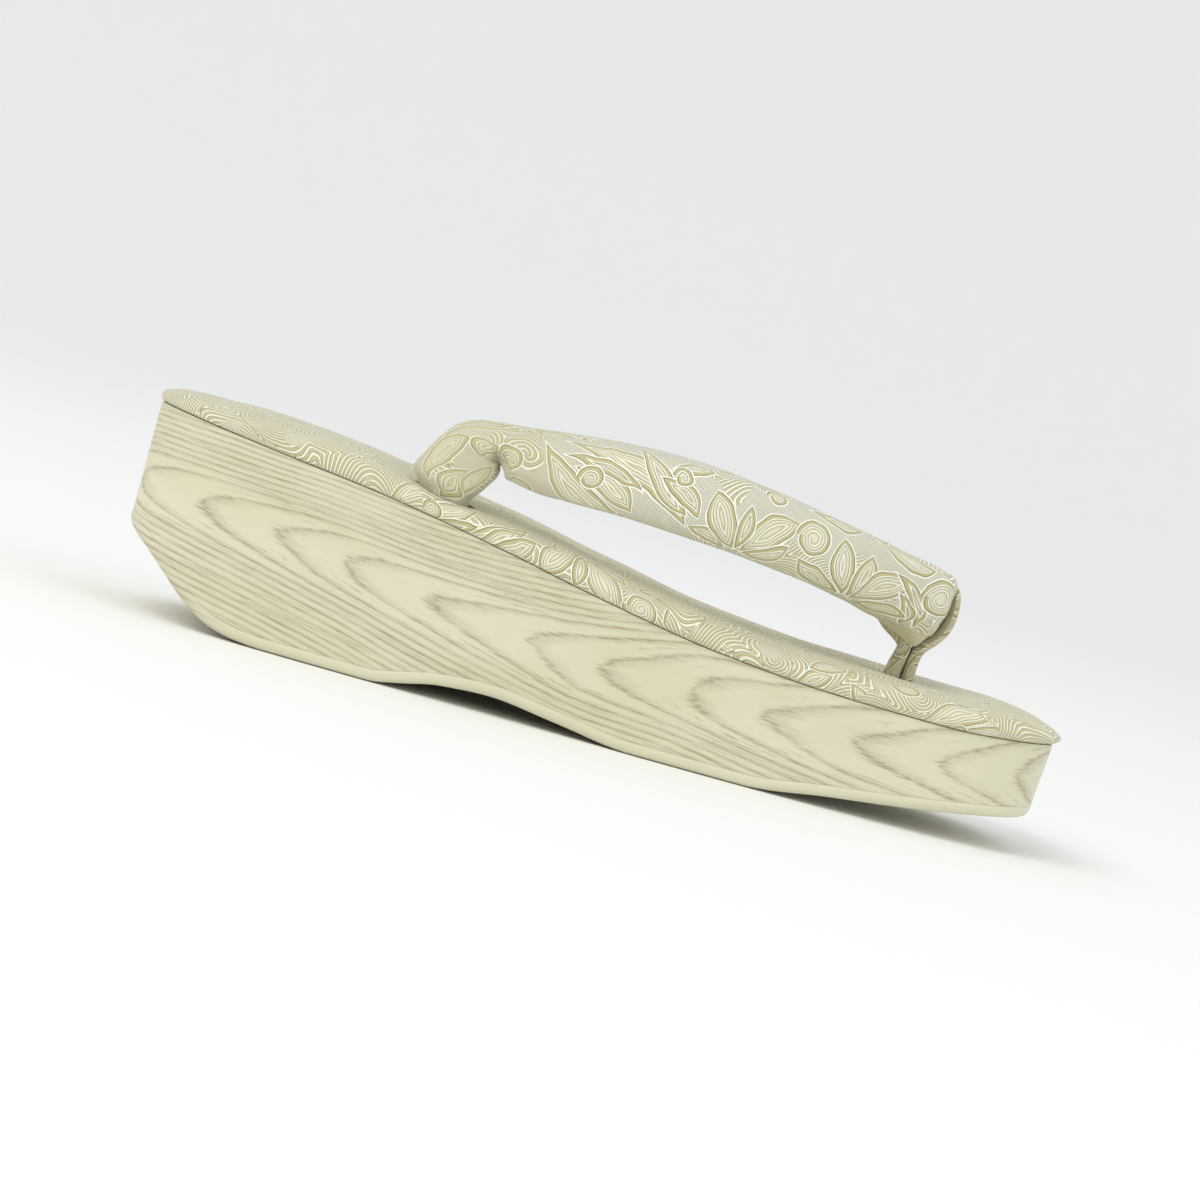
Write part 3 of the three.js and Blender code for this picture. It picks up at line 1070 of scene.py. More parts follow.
    def pattern(self, w: Wiring, place: Socket, ground: Socket) -> tuple[Socket, Socket, Socket]:
        """Petals, and the waves and ground behind them.

        Args:
            w: The material's wiring.
            place: Place on the cloth.
            ground: Colour of the dotted ground.

        Returns:
            Depth inside the petals, their share, and the colour behind them.
        """
        t = self.threads
        depth = self.petal_depth(w, self.swayed(w, place))
        inside = w.ramp(depth, t.outline + 0.02, t.outline - 0.08)
        waves = self.wave_colour(w, self.wave_turns(w, place))
        patch = w.cloud(place, 17, 14, 1.0)
        if self.ground is BrocadeGround.PETALS:
            back = w.tint(w.ramp(patch, *self.wave_patch), ground, waves)
        else:
            back = w.tint(w.ramp(patch, *self.dotted_patch), waves, ground)
            kept = w.math("GREATER_THAN", w.cloud(place, 31, 23, 1.0), self.petals_over)
            inside = w.times(inside, kept)
        return depth, inside, back

    def material(self) -> bpy.types.Material:
        """Woven cloth in ivory, gold and silver, on the piece's own map.

        Returns:
            The material.
        """
        t = self.threads
        material, w, shader = new_material(self.name)
        place = cloth_place(w)
        u, v, _ = w.split(place)
        depth, inside, back = self.pattern(w, place, self.dotted(w, u, v))
        slanted = w.plus(u, w.times(v, self.comb_slant))
        comb = w.ramp(w.math("SINE", w.times(slanted, 2 * math.pi / self.comb)), -1.0, 1.0)
        colour = w.tint(inside, back, self.petal_colour(w, depth))
        colour = w.tint(w.times(comb, 0.12), colour, linear(*t.pale))
        if self.root_gold:
            colour = w.tint(w.ramp(u, *self.root_u, 0.0, self.root_gold), colour, linear(*t.gold))
        cloud = w.cloud(place, 22, 22, 2.0)
        aged = w.tint(w.ramp(cloud, 0.3, 0.7, 0.0, 0.14), colour, linear(*self.aged))
        w.put(shader.inputs["Base Color"], aged)
        grey = w.node("ShaderNodeRGBToBW")
        w.put(grey.inputs[0], colour)
        w.put(shader.inputs["Roughness"], w.ramp(grey.outputs[0], 0.4, 0.8, 0.68, 0.5))
        preset(shader, {"Sheen Weight": 0.2, "Sheen Roughness": 0.4, "Specular IOR Level": 0.3})
        height = w.plus(w.ramp(grey.outputs[0], 0.25, 0.9), w.times(comb, 0.08))
        relief(w, shader, height, 0.3, 0.7)
        return material


@dataclass(frozen=True)
class Lining:
    """Plain beige cloth under the strap."""

    beige: Tone = (214, 206, 172)
    clouded: Tone = (204, 196, 160)
    raised: Tone = (232, 226, 200)
    thread: float = 0.5

    def material(self) -> bpy.types.Material:
        """Fine plain weave, on the piece's own map.

        Returns:
            The material.
        """
        material, w, shader = new_material("plain_lining")
        place = cloth_place(w)
        u, v, _ = w.split(place)
        wide = 2 * math.pi / self.thread
        over = w.math("SINE", w.times(u, wide))
        under = w.math("SINE", w.times(v, wide))
        weave = w.ramp(w.times(over, under), -0.8, 0.8)
        cloud = w.cloud(place, 9, 9, 3.0)
        base = w.tint(w.ramp(cloud, 0.35, 0.65), linear(*self.clouded), linear(*self.beige))
        w.put(shader.inputs["Base Color"], w.tint(w.times(weave, 0.2), base, linear(*self.raised)))
        preset(shader, {"Roughness": 0.85, "Sheen Weight": 0.3})
        relief(w, shader, weave, 0.08, 0.5)
        return material


@dataclass(frozen=True)
class PaleFloor:
    """Plain pale floor."""

    white: Tone = (250, 250, 248)

    def material(self) -> bpy.types.Material:
        """Matt white.

        Returns:
            The material.
        """
        material, w, shader = new_material("pale_floor")
        w.put(shader.inputs["Base Color"], linear(*self.white))
        preset(shader, {"Roughness": 0.9, "Specular IOR Level": 0.1})
        return material


@dataclass
class PlanBlock:
    """Block that follows the last's outline, from a grid that is extruded level by level."""

    last: Last
    name: str
    columns: int = 150
    rows: int = 6
    merge: float = 0.001

    def block(self, levels: int) -> Piece:
        """Flat grid extruded into a block of unit cells.

        Args:
            levels: Number of levels.

        Returns:
            The block, of unit length and width.
        """
        deselect()
        bpy.ops.mesh.primitive_grid_add(
            x_subdivisions=self.columns, y_subdivisions=self.rows, size=1, calc_uvs=False
        )
        piece = bpy.context.object
        piece.name = self.name
        bpy.ops.object.mode_set(mode="EDIT")
        bpy.ops.mesh.select_all(action="SELECT")
        for _ in range(levels):
            bpy.ops.mesh.extrude_region_move(TRANSFORM_OT_translate={"value": (0, 0, 1)})
        bpy.ops.object.mode_set(mode="OBJECT")
        return piece

    def shape(self, levels: Sequence[tuple[Curve, Curve]]) -> Piece:
        """Block with each level set to its inset and height.

        Args:
            levels: Inset and height of each level, as functions of x, from below.

        Returns:
            The shaped block, closed, with a map of its side.
        """
        piece = self.block(len(levels) - 1)
        mesh = piece.data
        unit = np.empty(len(mesh.vertices) * 3)
        mesh.vertices.foreach_get("co", unit)
        unit = unit.reshape(-1, 3)
        column = np.rint((unit[:, 0] + 0.5) * self.columns).astype(int)
        share = unit[:, 1] + 0.5
        level_of = np.rint(unit[:, 2]).astype(int)
        half = self.last.half_outline(self.columns)
        out = self.last.outward(half)
        place = np.zeros_like(unit)
        for level, (inset, height) in enumerate(levels):
            ring = half - out * inset(half[:, 0])[:, None]
            pick = level_of == level
            x, edge = ring[column[pick], 0], ring[column[pick], 1]
            place[pick] = np.column_stack([x, edge * (1 - 2 * share[pick]), height(x)])
        self.map_side(mesh, column, place)
        place[:, 0] -= self.last.middle
        mesh.vertices.foreach_set("co", (place * MM).ravel())
        mesh.update()
        edit_all(piece, bpy.ops.mesh.remove_doubles, threshold=self.merge * MM)
        return piece

    def map_side(self, mesh: bpy.types.Mesh, column: np.ndarray, place: np.ndarray) -> None:
        """Map the side: along it from the heel's tip, and up from the grain's middle line.

        Args:
            mesh: The block's mesh.
            column: Column of each corner.
            place: Shaped place of each corner, in millimetres.
        """
        last = self.last
        run = running(np.hypot(*np.diff(last.half_outline(self.columns), axis=0).T))
        up = place[:, 2] - smooth_table(place[:, 0], last.grain_x, last.grain_z)
        layer = mesh.uv_layers.new(name="cloth")
        for face in mesh.polygons:
            left = sum(place[v, 1] for v in face.vertices) > 0
            for loop in face.loop_indices:
                corner = mesh.loops[loop].vertex_index
                along = run[column[corner]] - last.grain_start
                round_toe = 2 * (run[-1] - last.grain_start) - along
                layer.data[loop].uv = (round_toe if left else along, up[corner])


@dataclass
class Sole:
    """Platform core with its printed side, and the bottom sheet under it."""

    last: Last
    wood: WoodPrint = WoodPrint()
    heel_wood: WoodPrint = WoodPrint(faded=True)
    plain: PlainSheet = PlainSheet()
    core_levels: int = 10
    seat_gap: float = 0.05
    tuck: float = 0.35
    tuck_share: float = 0.97
    underside: float = -0.93
    edge_share: Table = (0, 0.015, 0.06, 0.16, 0.32, 0.52, 0.75, 0.95, 1.0)
    edge_inset: Table = (3.2, 2.4, 1.5, 0.75, 0.25, 0.02, -0.06, -0.04, 0.06)

    def core(self) -> Piece:
        """Core from the sheet to the crease, its side covered with the wood print.

        Returns:
            The core.
        """
        last = self.last

        def level(share: float) -> tuple[Curve, Curve]:
            """Inset and height of one level of the side.

            Args:
                share: Share of the way up.

            Returns:
                The two curves.
            """
            tuck = self.tuck * max(0.0, (share - self.tuck_share) / (1 - self.tuck_share))
            return (
                lambda x: last.taper(x) * (1 - share) + tuck,
                lambda x: (last.ground(x) + last.sheet_height(x) + self.seat_gap) * (1 - share)
                + last.crease(x) * share,
            )

        shares = [*np.linspace(0, self.tuck_share, self.core_levels), 1.0]
        piece = PlanBlock(last, "platform_core").shape([level(s) for s in shares])
        finish_shading(piece, 50)
        piece.data.materials.append(self.wood.material())
        return seat(piece, Slot.WOOD, "sole")

    def sheet(self) -> Piece:
        """Bottom sheet with a rounded lower corner.

        Returns:
            The sheet.
        """
        last = self.last

        def level(share: float, inset: float) -> tuple[Curve, Curve]:
            """Inset and height of one level of the edge.

            Args:
                share: Share of the sheet's thickness.
                inset: How far it stands in, in millimetres.

            Returns:
                The two curves.
            """
            return (
                lambda x: last.taper(x) + inset,
                lambda x: last.ground(x) + share * last.sheet_height(x),
            )

        rows = zip(self.edge_share, self.edge_inset)
        piece = PlanBlock(last, "bottom_sheet").shape([level(*row) for row in rows])
        finish_shading(piece, 40)
        piece.data.materials.append(self.heel_wood.material())
        piece.data.materials.append(self.plain.material())
        for face in piece.data.polygons:
            face.material_index = int(face.normal.z < self.underside)
        return seat(piece, Slot.SHEET, "outsole")

    def build(self) -> None:
        """Make both pieces."""
        self.sheet()
        self.core()


@dataclass
class Insole:
    """Padded insole: domed pad covered in brocade, with a turned rim."""

    last: Last
    steps: int = 260
    across: int = 14
    merge: float = 0.002
    point: float = 2.4
    crown_run: Pair = (17, 50)
    rim_rows: int = 8
    rim_wave: float = 0.1
    ripple: float = 0.12
    hole_corners: int = 48
    hole_up: float = 4.0
    hole_tall: float = 30.0
    edge_up: Table = (0.1, 0.6, 1.3, 1.9, 2.6, 3.3, 4.0, 4.9, 5.6, 6.2, 6.7, 7.1, 7.4, 7.65, 7.9)
    edge_in: Table = (0.8, -0.35, -0.9, -1.18, -1.3, -1.2, -0.9, -0.2, 0.6, 1.8, 3.2, 5.4, 8, 12, 16)
    threads: BrocadeThreads = BrocadeThreads(
        ivory=(248, 246, 230), silver=(237, 234, 213), shade=(182, 174, 134)
    )

    def height(self, x: np.ndarray, y: np.ndarray, up: np.ndarray) -> np.ndarray:
        """Height of the pad at a place for a row of its section.

        Args:
            x: Places along the sandal.
            y: Places across it.
            up: Row of the section, as millimetres of the full pad.

        Returns:
            The height at each.
        """
        last = self.last
        share = (up - last.gap) / (last.pad_full - last.gap)
        soft = self.ripple * np.sin(x / 5.3 + 0.7 * np.sin(y / 7.1)) * np.sin(y / 6.2 + 0.4 * np.sin(x / 9.0))
        thick = last.crown(x) - last.gap
        return last.crease(x) + last.gap + share * (thick + soft * share) - share**2 * last.dip(x, y)

    def rings(self) -> tuple[list[np.ndarray], list[np.ndarray]]:
        """Rings of the pad, from its lower edge over the rim and in to its middle line.

        Returns:
            The rings, and the place of each on the flat cloth.
        """
        last = self.last
        half = last.half_outline(self.steps)
        n = 2 * self.steps
        order = [*range(self.steps + 1), *range(self.steps - 1, 0, -1)]
        sides = np.ones((n, 2))
        sides[self.steps + 1:, 1] = -1.0
        base, way = half[order] * sides, last.outward(half)[order] * sides
        rings, flats = [], []
        spans = np.hypot(np.diff(self.edge_up), np.diff(self.edge_in))
        reach, total = running(spans), spans.sum()
        for k, (up, inset) in enumerate(zip(self.edge_up, self.edge_in)):
            on_rim = 0 < k < self.rim_rows
            wave = np.sin(base[:, 0] / 3.1 + 2 * np.sin(base[:, 1] / 11))
            wave = self.rim_wave * wave if on_rim else 0.0
            d = np.where(inset < 0, inset * last.lip(base[:, 0]), inset) + wave
            ring = base - way * np.reshape(d, (-1, 1))
            if k == len(spans):
                ring = self.pointed(ring)
            rings.append(np.column_stack([ring, self.height(ring[:, 0], ring[:, 1], np.full(n, up))]))
            flats.append(base - way * (self.edge_in[-1] - (total - reach[k])))
        rim, rim_flat = rings[-1], flats[-1]
        rise = soft_step(np.minimum(rim[:, 0], last.length - rim[:, 0]), *self.crown_run)
        for j in range(1, self.across):
            share = 1 - j / self.across
            y = rim[:, 1] * share
            up = self.edge_up[-1] + (last.pad_full - self.edge_up[-1]) * rise * (1 - share**2)
            rings.append(np.column_stack([rim[:, 0], y, self.height(rim[:, 0], y, up)]))
            flats.append(np.column_stack([rim_flat[:, 0], y]))
        return rings, flats

    def faces(self, count: int) -> list[tuple[int, ...]]:
        """Corner numbers of the pad's faces.

        Args:
            count: Number of rings.

        Returns:
            The faces between the rings, along the middle line and underneath.
        """
        n = 2 * self.steps
        faces = []
        for a in range(0, (count - 1) * n, n):
            faces += [(a + i, a + (i + 1) % n, a + n + (i + 1) % n, a + n + i) for i in range(n)]
        top = (count - 1) * n
        for i in range(self.steps):
            mirror, after = (n - i) % n, n - i - 1
            faces.append((top + i, top + i + 1, top + after, top + mirror))
            faces.append((mirror, after, i + 1, i))
        return [tuple(dict.fromkeys(f)) for f in faces]

    def build(self) -> Piece:
        """Make the pad, cut its three holes, and cover it.

        Returns:
            The pad.
        """
        rings, flats = self.rings()
        corners, flat = np.vstack(rings), np.vstack(flats)
        faces = self.faces(len(rings))
        corners[:, 0] -= self.last.middle
        piece = mesh_piece("padded_insole", corners, faces, [[tuple(flat[v]) for v in f] for f in faces])
        edit_all(piece, bpy.ops.mesh.remove_doubles, threshold=self.merge * MM)
        self.cut_holes(piece)
        finish_shading(piece, 60)
        cloth = Brocade(BrocadeGround.WAVES, self.threads, "insole_brocade")
        piece.data.materials.append(cloth.material())
        return seat(piece, Slot.BROCADE, "insole")

    def pointed(self, ring: np.ndarray) -> np.ndarray:
        """Ring with its two flat ends drawn to a slight point, so that rows across it differ.

        Args:
            ring: Rows of x and y.

        Returns:
            The moved rows.
        """
        from_middle = ring[:, 0] - self.last.length / 2
        half_width = np.abs(ring[:, 1]).max()
        near_end = soft_step(np.abs(from_middle), 60, 100)
        out = self.point * near_end * (1 - np.abs(ring[:, 1]) / half_width)
        return np.column_stack([ring[:, 0] + np.sign(from_middle) * out, ring[:, 1]])

    def cut_holes(self, piece: Piece) -> None:
        """Cut the holes of the strap's roots and the toe loop's stem.

        Args:
            piece: The pad.
        """
        for d in self.last.dips:
            deselect()
            bpy.ops.mesh.primitive_cylinder_add(
                vertices=self.hole_corners, radius=1, depth=1, calc_uvs=False,
                location=((d.x - self.last.middle) * MM, d.y * MM, 0),
            )
            cutter = bpy.context.object
            cutter.location.z = (float(self.last.crease(np.array([d.x]))[0]) + self.hole_up) * MM
            cutter.scale = (d.hole_x * MM, d.hole_y * MM, self.hole_tall * MM)
            take(piece)
            cut = piece.modifiers.new("hole", "BOOLEAN")
            cut.operation, cut.solver, cut.object = "DIFFERENCE", "EXACT", cutter
            bpy.ops.object.modifier_apply(modifier=cut.name)
            bpy.data.objects.remove(cutter)


@dataclass(frozen=True)
class Pinch:
    """Pinch in the cloth: a hollow, a roll round it, and folds that run out from it."""

    centre: Spot
    hollow: float = -1.9
    hollow_wide: float = 2.3
    roll: float = 0.55
    roll_at: float = 4.6
    roll_wide: float = 2.2
    folds: float = 3.5
    folds_turn: float = 0.4
    folds_level: float = 0.6
    folds_high: float = 1.5
    folds_reach: float = 6.5
    folds_start: float = 2.0

    def rise(self, points: np.ndarray) -> np.ndarray:
        """How far the pinch moves the cloth outwards.

        Args:
            points: Points of the cloth.

        Returns:
            The move of each, in millimetres.
        """
        off = points - np.array(self.centre)
        r = np.linalg.norm(off, axis=1)
        angle = np.arctan2(off[:, 2], off[:, 0])
        folds = np.abs(np.cos(self.folds * angle + self.folds_turn)) - self.folds_level
        gather = folds * swelling(r, self.folds_reach) * (1 - swelling(r, self.folds_start))
        hollow = self.hollow * swelling(r, self.hollow_wide)
        roll = self.roll * swelling(r - self.roll_at, self.roll_wide)
        return hollow + roll + self.folds_high * gather


@dataclass(frozen=True)
class Valley:
    """Fold line seen from the side, with a soft roll on both sides of it, fading to its end."""

    start: Pair
    end: Pair
    deep: float = -1.1
    wide: float = 0.9
    roll: float = 0.5
    roll_at: float = 2.2
    roll_wide: float = 1.1
    fading: float = 0.7

    def rise(self, points: np.ndarray) -> np.ndarray:
        """How far the fold moves the cloth outwards.

        Args:
            points: Points of the cloth.

        Returns:
            The move of each, in millimetres.
        """
        flat, start = points[:, [0, 2]], np.array(self.start)
        along = np.array(self.end) - start
        t = np.clip(((flat - start) @ along) / (along @ along), 0, 1)
        r = np.linalg.norm(flat - start - t[:, None] * along, axis=1)
        fold = self.deep * swelling(r, self.wide) + self.roll * swelling(r - self.roll_at, self.roll_wide)
        return fold * (1 - self.fading * t)


@dataclass
class Strap:
    """V-shaped strap: two padded brocade tubes with a plain lining, and the neck between them."""

    last: Last
    around: int = 88
    step: float = 0.9
    square: float = 2.6
    top_x: Table = (69.7, 68.4, 68.0, 66.8, 65.6, 67.6, 70.3, 73.5, 78.5, 83.5, 89.5, 96, 105, 117,
                                130, 143.5, 157, 170.5, 182, 190.3, 197, 199.8)
    top_z: Table = (44.4, 48.6, 50.7, 52.1, 54.2, 58.5, 63.3, 66.2, 68.1, 68.8, 69.5, 70.3, 71.4, 72.6,
                                73.2, 72.8, 71.2, 69.2, 67.2, 65.6, 64.2, 63.4)
    low_x: Table = (80.6, 80.7, 81.0, 82.2, 83.8, 85.8, 85.6, 86, 86.6, 87.6, 90.2, 97, 106, 117,
                                129.6, 142, 154.8, 168, 179, 187.7, 195.4, 197.8)
    low_z: Table = (42.9, 47.3, 49.6, 51.1, 53.2, 57.2, 59.6, 59.9, 59.5, 58, 56.5, 55.6, 55.3, 55.2,
                                54.9, 54, 53.1, 51.6, 49.5, 47.6, 46.5, 46)
    off_y: Table = (31, 31, 31, 31, 31, 31.2, 31.5, 31.9, 32.3, 32.7, 33.1, 33.4, 33.5, 32.8,
                                31.3, 29, 25.8, 21.6, 16.8, 12.2, 8.2, 6)
    wide: Table = (7.4, 8.8, 9.9, 13.0, 14.4, 15.4, 16, 16.6, 17, 17, 17, 17, 17.2, 17.4,
                               17.6, 17.8, 17.8, 17.8, 17.8, 17.4, 16.8, 14.0)
    turn: Table = (0, 0, 0, 0, 0, 0, 0, 0, 0, 0, 0, 1, 3, 6, 9, 12, 15, 21, 33, 50, 74, 90)
    neck_x: Pair = (191.4, 204.6)
    neck_z: Pair = (47.2, 60.2)
    neck_y: float = 5.6
    neck_power: float = 0.83
    neck_step: float = 3.0
    end_rows: tuple[Pair, ...] = ((0.97, 5.75), (0.9, 5.62))
    end_step: float = 0.5
    start_x: float = 120.0
    squarer: float = 1.2
    squarer_u: Pair = (192, 206)
    lining_shares: Pair = (0.60, 0.86)
    lining_u: Table = (88, 106, 170, 192, 196.6, 200.2, 204.8)
    lining_edge: Table = (244, 298, 276, 275, 291, 310, 324)
    lining_inner: float = 214.0
    lining_tuck: float = 0.955
    tip: Pair = (200.0, 42.2)
    tip_share: float = 0.75
    gather_from: float = 194
    outer_pinch: Pinch = Pinch((85.9, 41.0, 60.4))
    inner_pinch: Pinch = Pinch((86.2, 24.6, 60.2))
    pinch_side: float = 33
    valley: Valley = Valley((86.2, 60.0), (80.5, 66.5))
    valley_side: float = 36
    joint: Spot = (196.0, 6.0, 54.0)
    joint_folds: float = 9
    joint_fold_high: float = 0.16
    joint_fold_at: float = 9
    joint_fold_wide: float = 5
    lump: float = 0.13
    root_top: Pair = (57, 49)
    root_front: float = 90
    root_fold: float = 0.35
    root_folds: float = 3.1

    def sections(self) -> dict[str, np.ndarray]:
        """Section sizes at even steps along a tube, from the root to the joint.

        Returns:
            Each size by name, with u for the place along the cloth.
        """
        top = np.column_stack([self.top_x, self.top_z])
        low = np.column_stack([self.low_x, self.low_z])
        centre = np.column_stack([(top + low) / 2, self.off_y])
        run = running(np.linalg.norm(np.diff(centre, axis=0), axis=1))
        even = np.linspace(0, run[-1], int(run[-1] / self.step))
        names = ("top_x", "top_z", "low_x", "low_z", "off_y", "wide", "turn")
        made = {name: smooth_table(even, run, getattr(self, name)) for name in names}
        start = float(np.interp(self.start_x, centre[:, 0], run))
        made["u"] = even - start + self.start_x
        return made

    def lining_span(self) -> tuple[int, int]:
        """First and last point of a ring's lining."""
        first, last = self.lining_shares
        return int(self.around * first), int(self.around * last)

    def angles(self, lining_edge: float) -> np.ndarray:
        """Angles of a ring's points, with fixed points on the two edges of the lining.

        Args:
            lining_edge: Angle of the lining's outer edge, in degrees.

        Returns:
            The angles in radians.
        """
        n = self.around
        rows = (0, *self.lining_span(), n)
        return np.radians(np.interp(np.arange(n), rows, (0, self.lining_inner, lining_edge, 360)))

    def ring(self, s: dict[str, np.ndarray], k: int) -> tuple[np.ndarray, np.ndarray]:
        """Ring of one section of the left tube.

        Args:
            s: The sections.
            k: Which of them.

        Returns:
            Points in millimetres, and the outward direction at each.
        """
        u = s["u"][k]
        angle = self.angles(float(np.interp(u, self.lining_u, self.lining_edge)))
        power = 2 / (self.square + self.squarer * float(soft_step(u, *self.squarer_u)))
        c, d = np.cos(angle), np.sin(angle)
        first, last = self.lining_span()
        point = np.arange(self.around)
        tuck = np.where((point >= first) & (point <= last), self.lining_tuck, 1.0)
        w = s["wide"][k] / 2 * np.sign(c) * np.abs(c) ** power * tuck
        v = np.sign(d) * np.abs(d) ** power * tuck
        turn = math.radians(s["turn"][k])
        top = np.array([s["top_x"][k], s["off_y"][k], s["top_z"][k]])
        low = np.array([s["low_x"][k], s["off_y"][k], s["low_z"][k]])
        rise, centre = (top - low) / 2, (top + low) / 2
        side = np.array([math.sin(turn), math.cos(turn), 0])
        arm = w[:, None] * side + v[:, None] * rise
        near_joint = float(soft_step(u, self.gather_from, s["u"][-1] + 1))
        gather = near_joint * np.maximum(-v, 0) ** 3
        arm[:, 0] += gather * (self.tip[0] - centre[0] - arm[:, 0]) * self.tip_share
        arm[:, 2] += gather * (self.tip[1] - centre[2] + rise[2])
        way = arm / np.maximum(np.linalg.norm(arm, axis=1, keepdims=True), 1e-6)
        return centre + arm, way

    def wrinkles(self, points: np.ndarray, way: np.ndarray) -> np.ndarray:
        """Soft puckers of a tube: the pinch at the rear fold and the gathers at the joint.

        Args:
            points: Points of the left tube.
            way: Outward directions.

        Returns:
            The moved points.
        """
        x, y, z = points.T
        move = np.where(y > self.pinch_side, self.outer_pinch.rise(points), 0)
        move += np.where(y < self.pinch_side, self.inner_pinch.rise(points), 0)
        move += np.where(y > self.valley_side, self.valley.rise(points), 0)
        off = points - np.array(self.joint)
        rays = np.cos(self.joint_folds * np.arctan2(off[:, 2], off[:, 0]))
        away = np.linalg.norm(off, axis=1) - self.joint_fold_at
        move += self.joint_fold_high * rays * swelling(away, self.joint_fold_wide)
        move += self.lump * (np.sin(x / 4.7 + 1.3 * np.sin(z / 5)) * np.sin(z / 3.9 + y / 5))
        root = soft_step(z, *self.root_top) * (x < self.root_front)
        folds = np.cos(self.root_folds * np.arctan2(way[:, 1], way[:, 0]) * 2 + 0.5)
        return points + way * (move + self.root_fold * root * folds)[:, None]

    def rings(self) -> tuple[list[np.ndarray], list[float]]:
        """Rings of the whole strap, from the left root to the right one.

        Returns:
            The rings, and the place of each along its own tube's cloth.
        """
        s = self.sections()
        left = [self.wrinkles(*self.ring(s, k)) for k in range(len(s["u"]))]
        lengths = [float(u) for u in s["u"]]
        end = left[-1]
        middle = end.mean(axis=0)
        for share, y in self.end_rows:
            left.append((end - middle) * share + middle)
            left[-1][:, 1] = y
            lengths.append(lengths[-1] + self.end_step)
        (x0, x1), (z0, z1) = self.neck_x, self.neck_z
        angle = self.angles(self.lining_edge[-1])
        c, d = np.cos(angle), np.sin(angle)
        power = self.neck_power
        oval = np.column_stack([
            (x0 + x1) / 2 + np.sign(c) * np.abs(c) ** power * ((x1 - x0) / 2),
            np.zeros(self.around),
            (z0 + z1) / 2 + np.sign(d) * np.abs(d) ** power * ((z1 - z0) / 2),
        ])
        for y in (self.neck_y, 0.0):
            left.append(oval + np.array([0, y, 0]))
            lengths.append(lengths[-1] + self.neck_step)
        right = [r * np.array([1, -1, 1]) for r in reversed(left[:-1])]
        return left + right, lengths + lengths[-2::-1]

    def build(self) -> Piece:
        """Sweep the whole strap as one closed body and dress its cloth and lining.

        Returns:
            The strap.
        """
        rings, along = self.rings()
        n = self.around
        first, last = self.lining_span()
        quarter = int(n * self.lining_shares[0] * 90 / self.lining_inner)
        across = []
        for ring in rings:
            walk = round_walk(ring)
            across.append((walk[quarter] - walk, walk[quarter] + walk[-1] - walk))

        def cloth_at(ring: int, face: int, corner: int) -> Pair:
            """Place on the cloth, whose two edges meet under the lining."""
            return along[ring], across[ring][int(face >= (first + last) // 2)][corner]

        piece = swept_piece("padded_strap", rings, self.last.middle, cloth_at)
        piece.data.materials.append(Brocade(BrocadeGround.PETALS, root_gold=0.3).material())
        piece.data.materials.append(Lining().material())
        lined = [int(first <= i < last) for i in range(n)] * (len(rings) - 1) + [0, 0]
        piece.data.polygons.foreach_set("material_index", lined)
        finish_shading(piece, 45)
        return seat(piece, Slot.BROCADE, "strap")


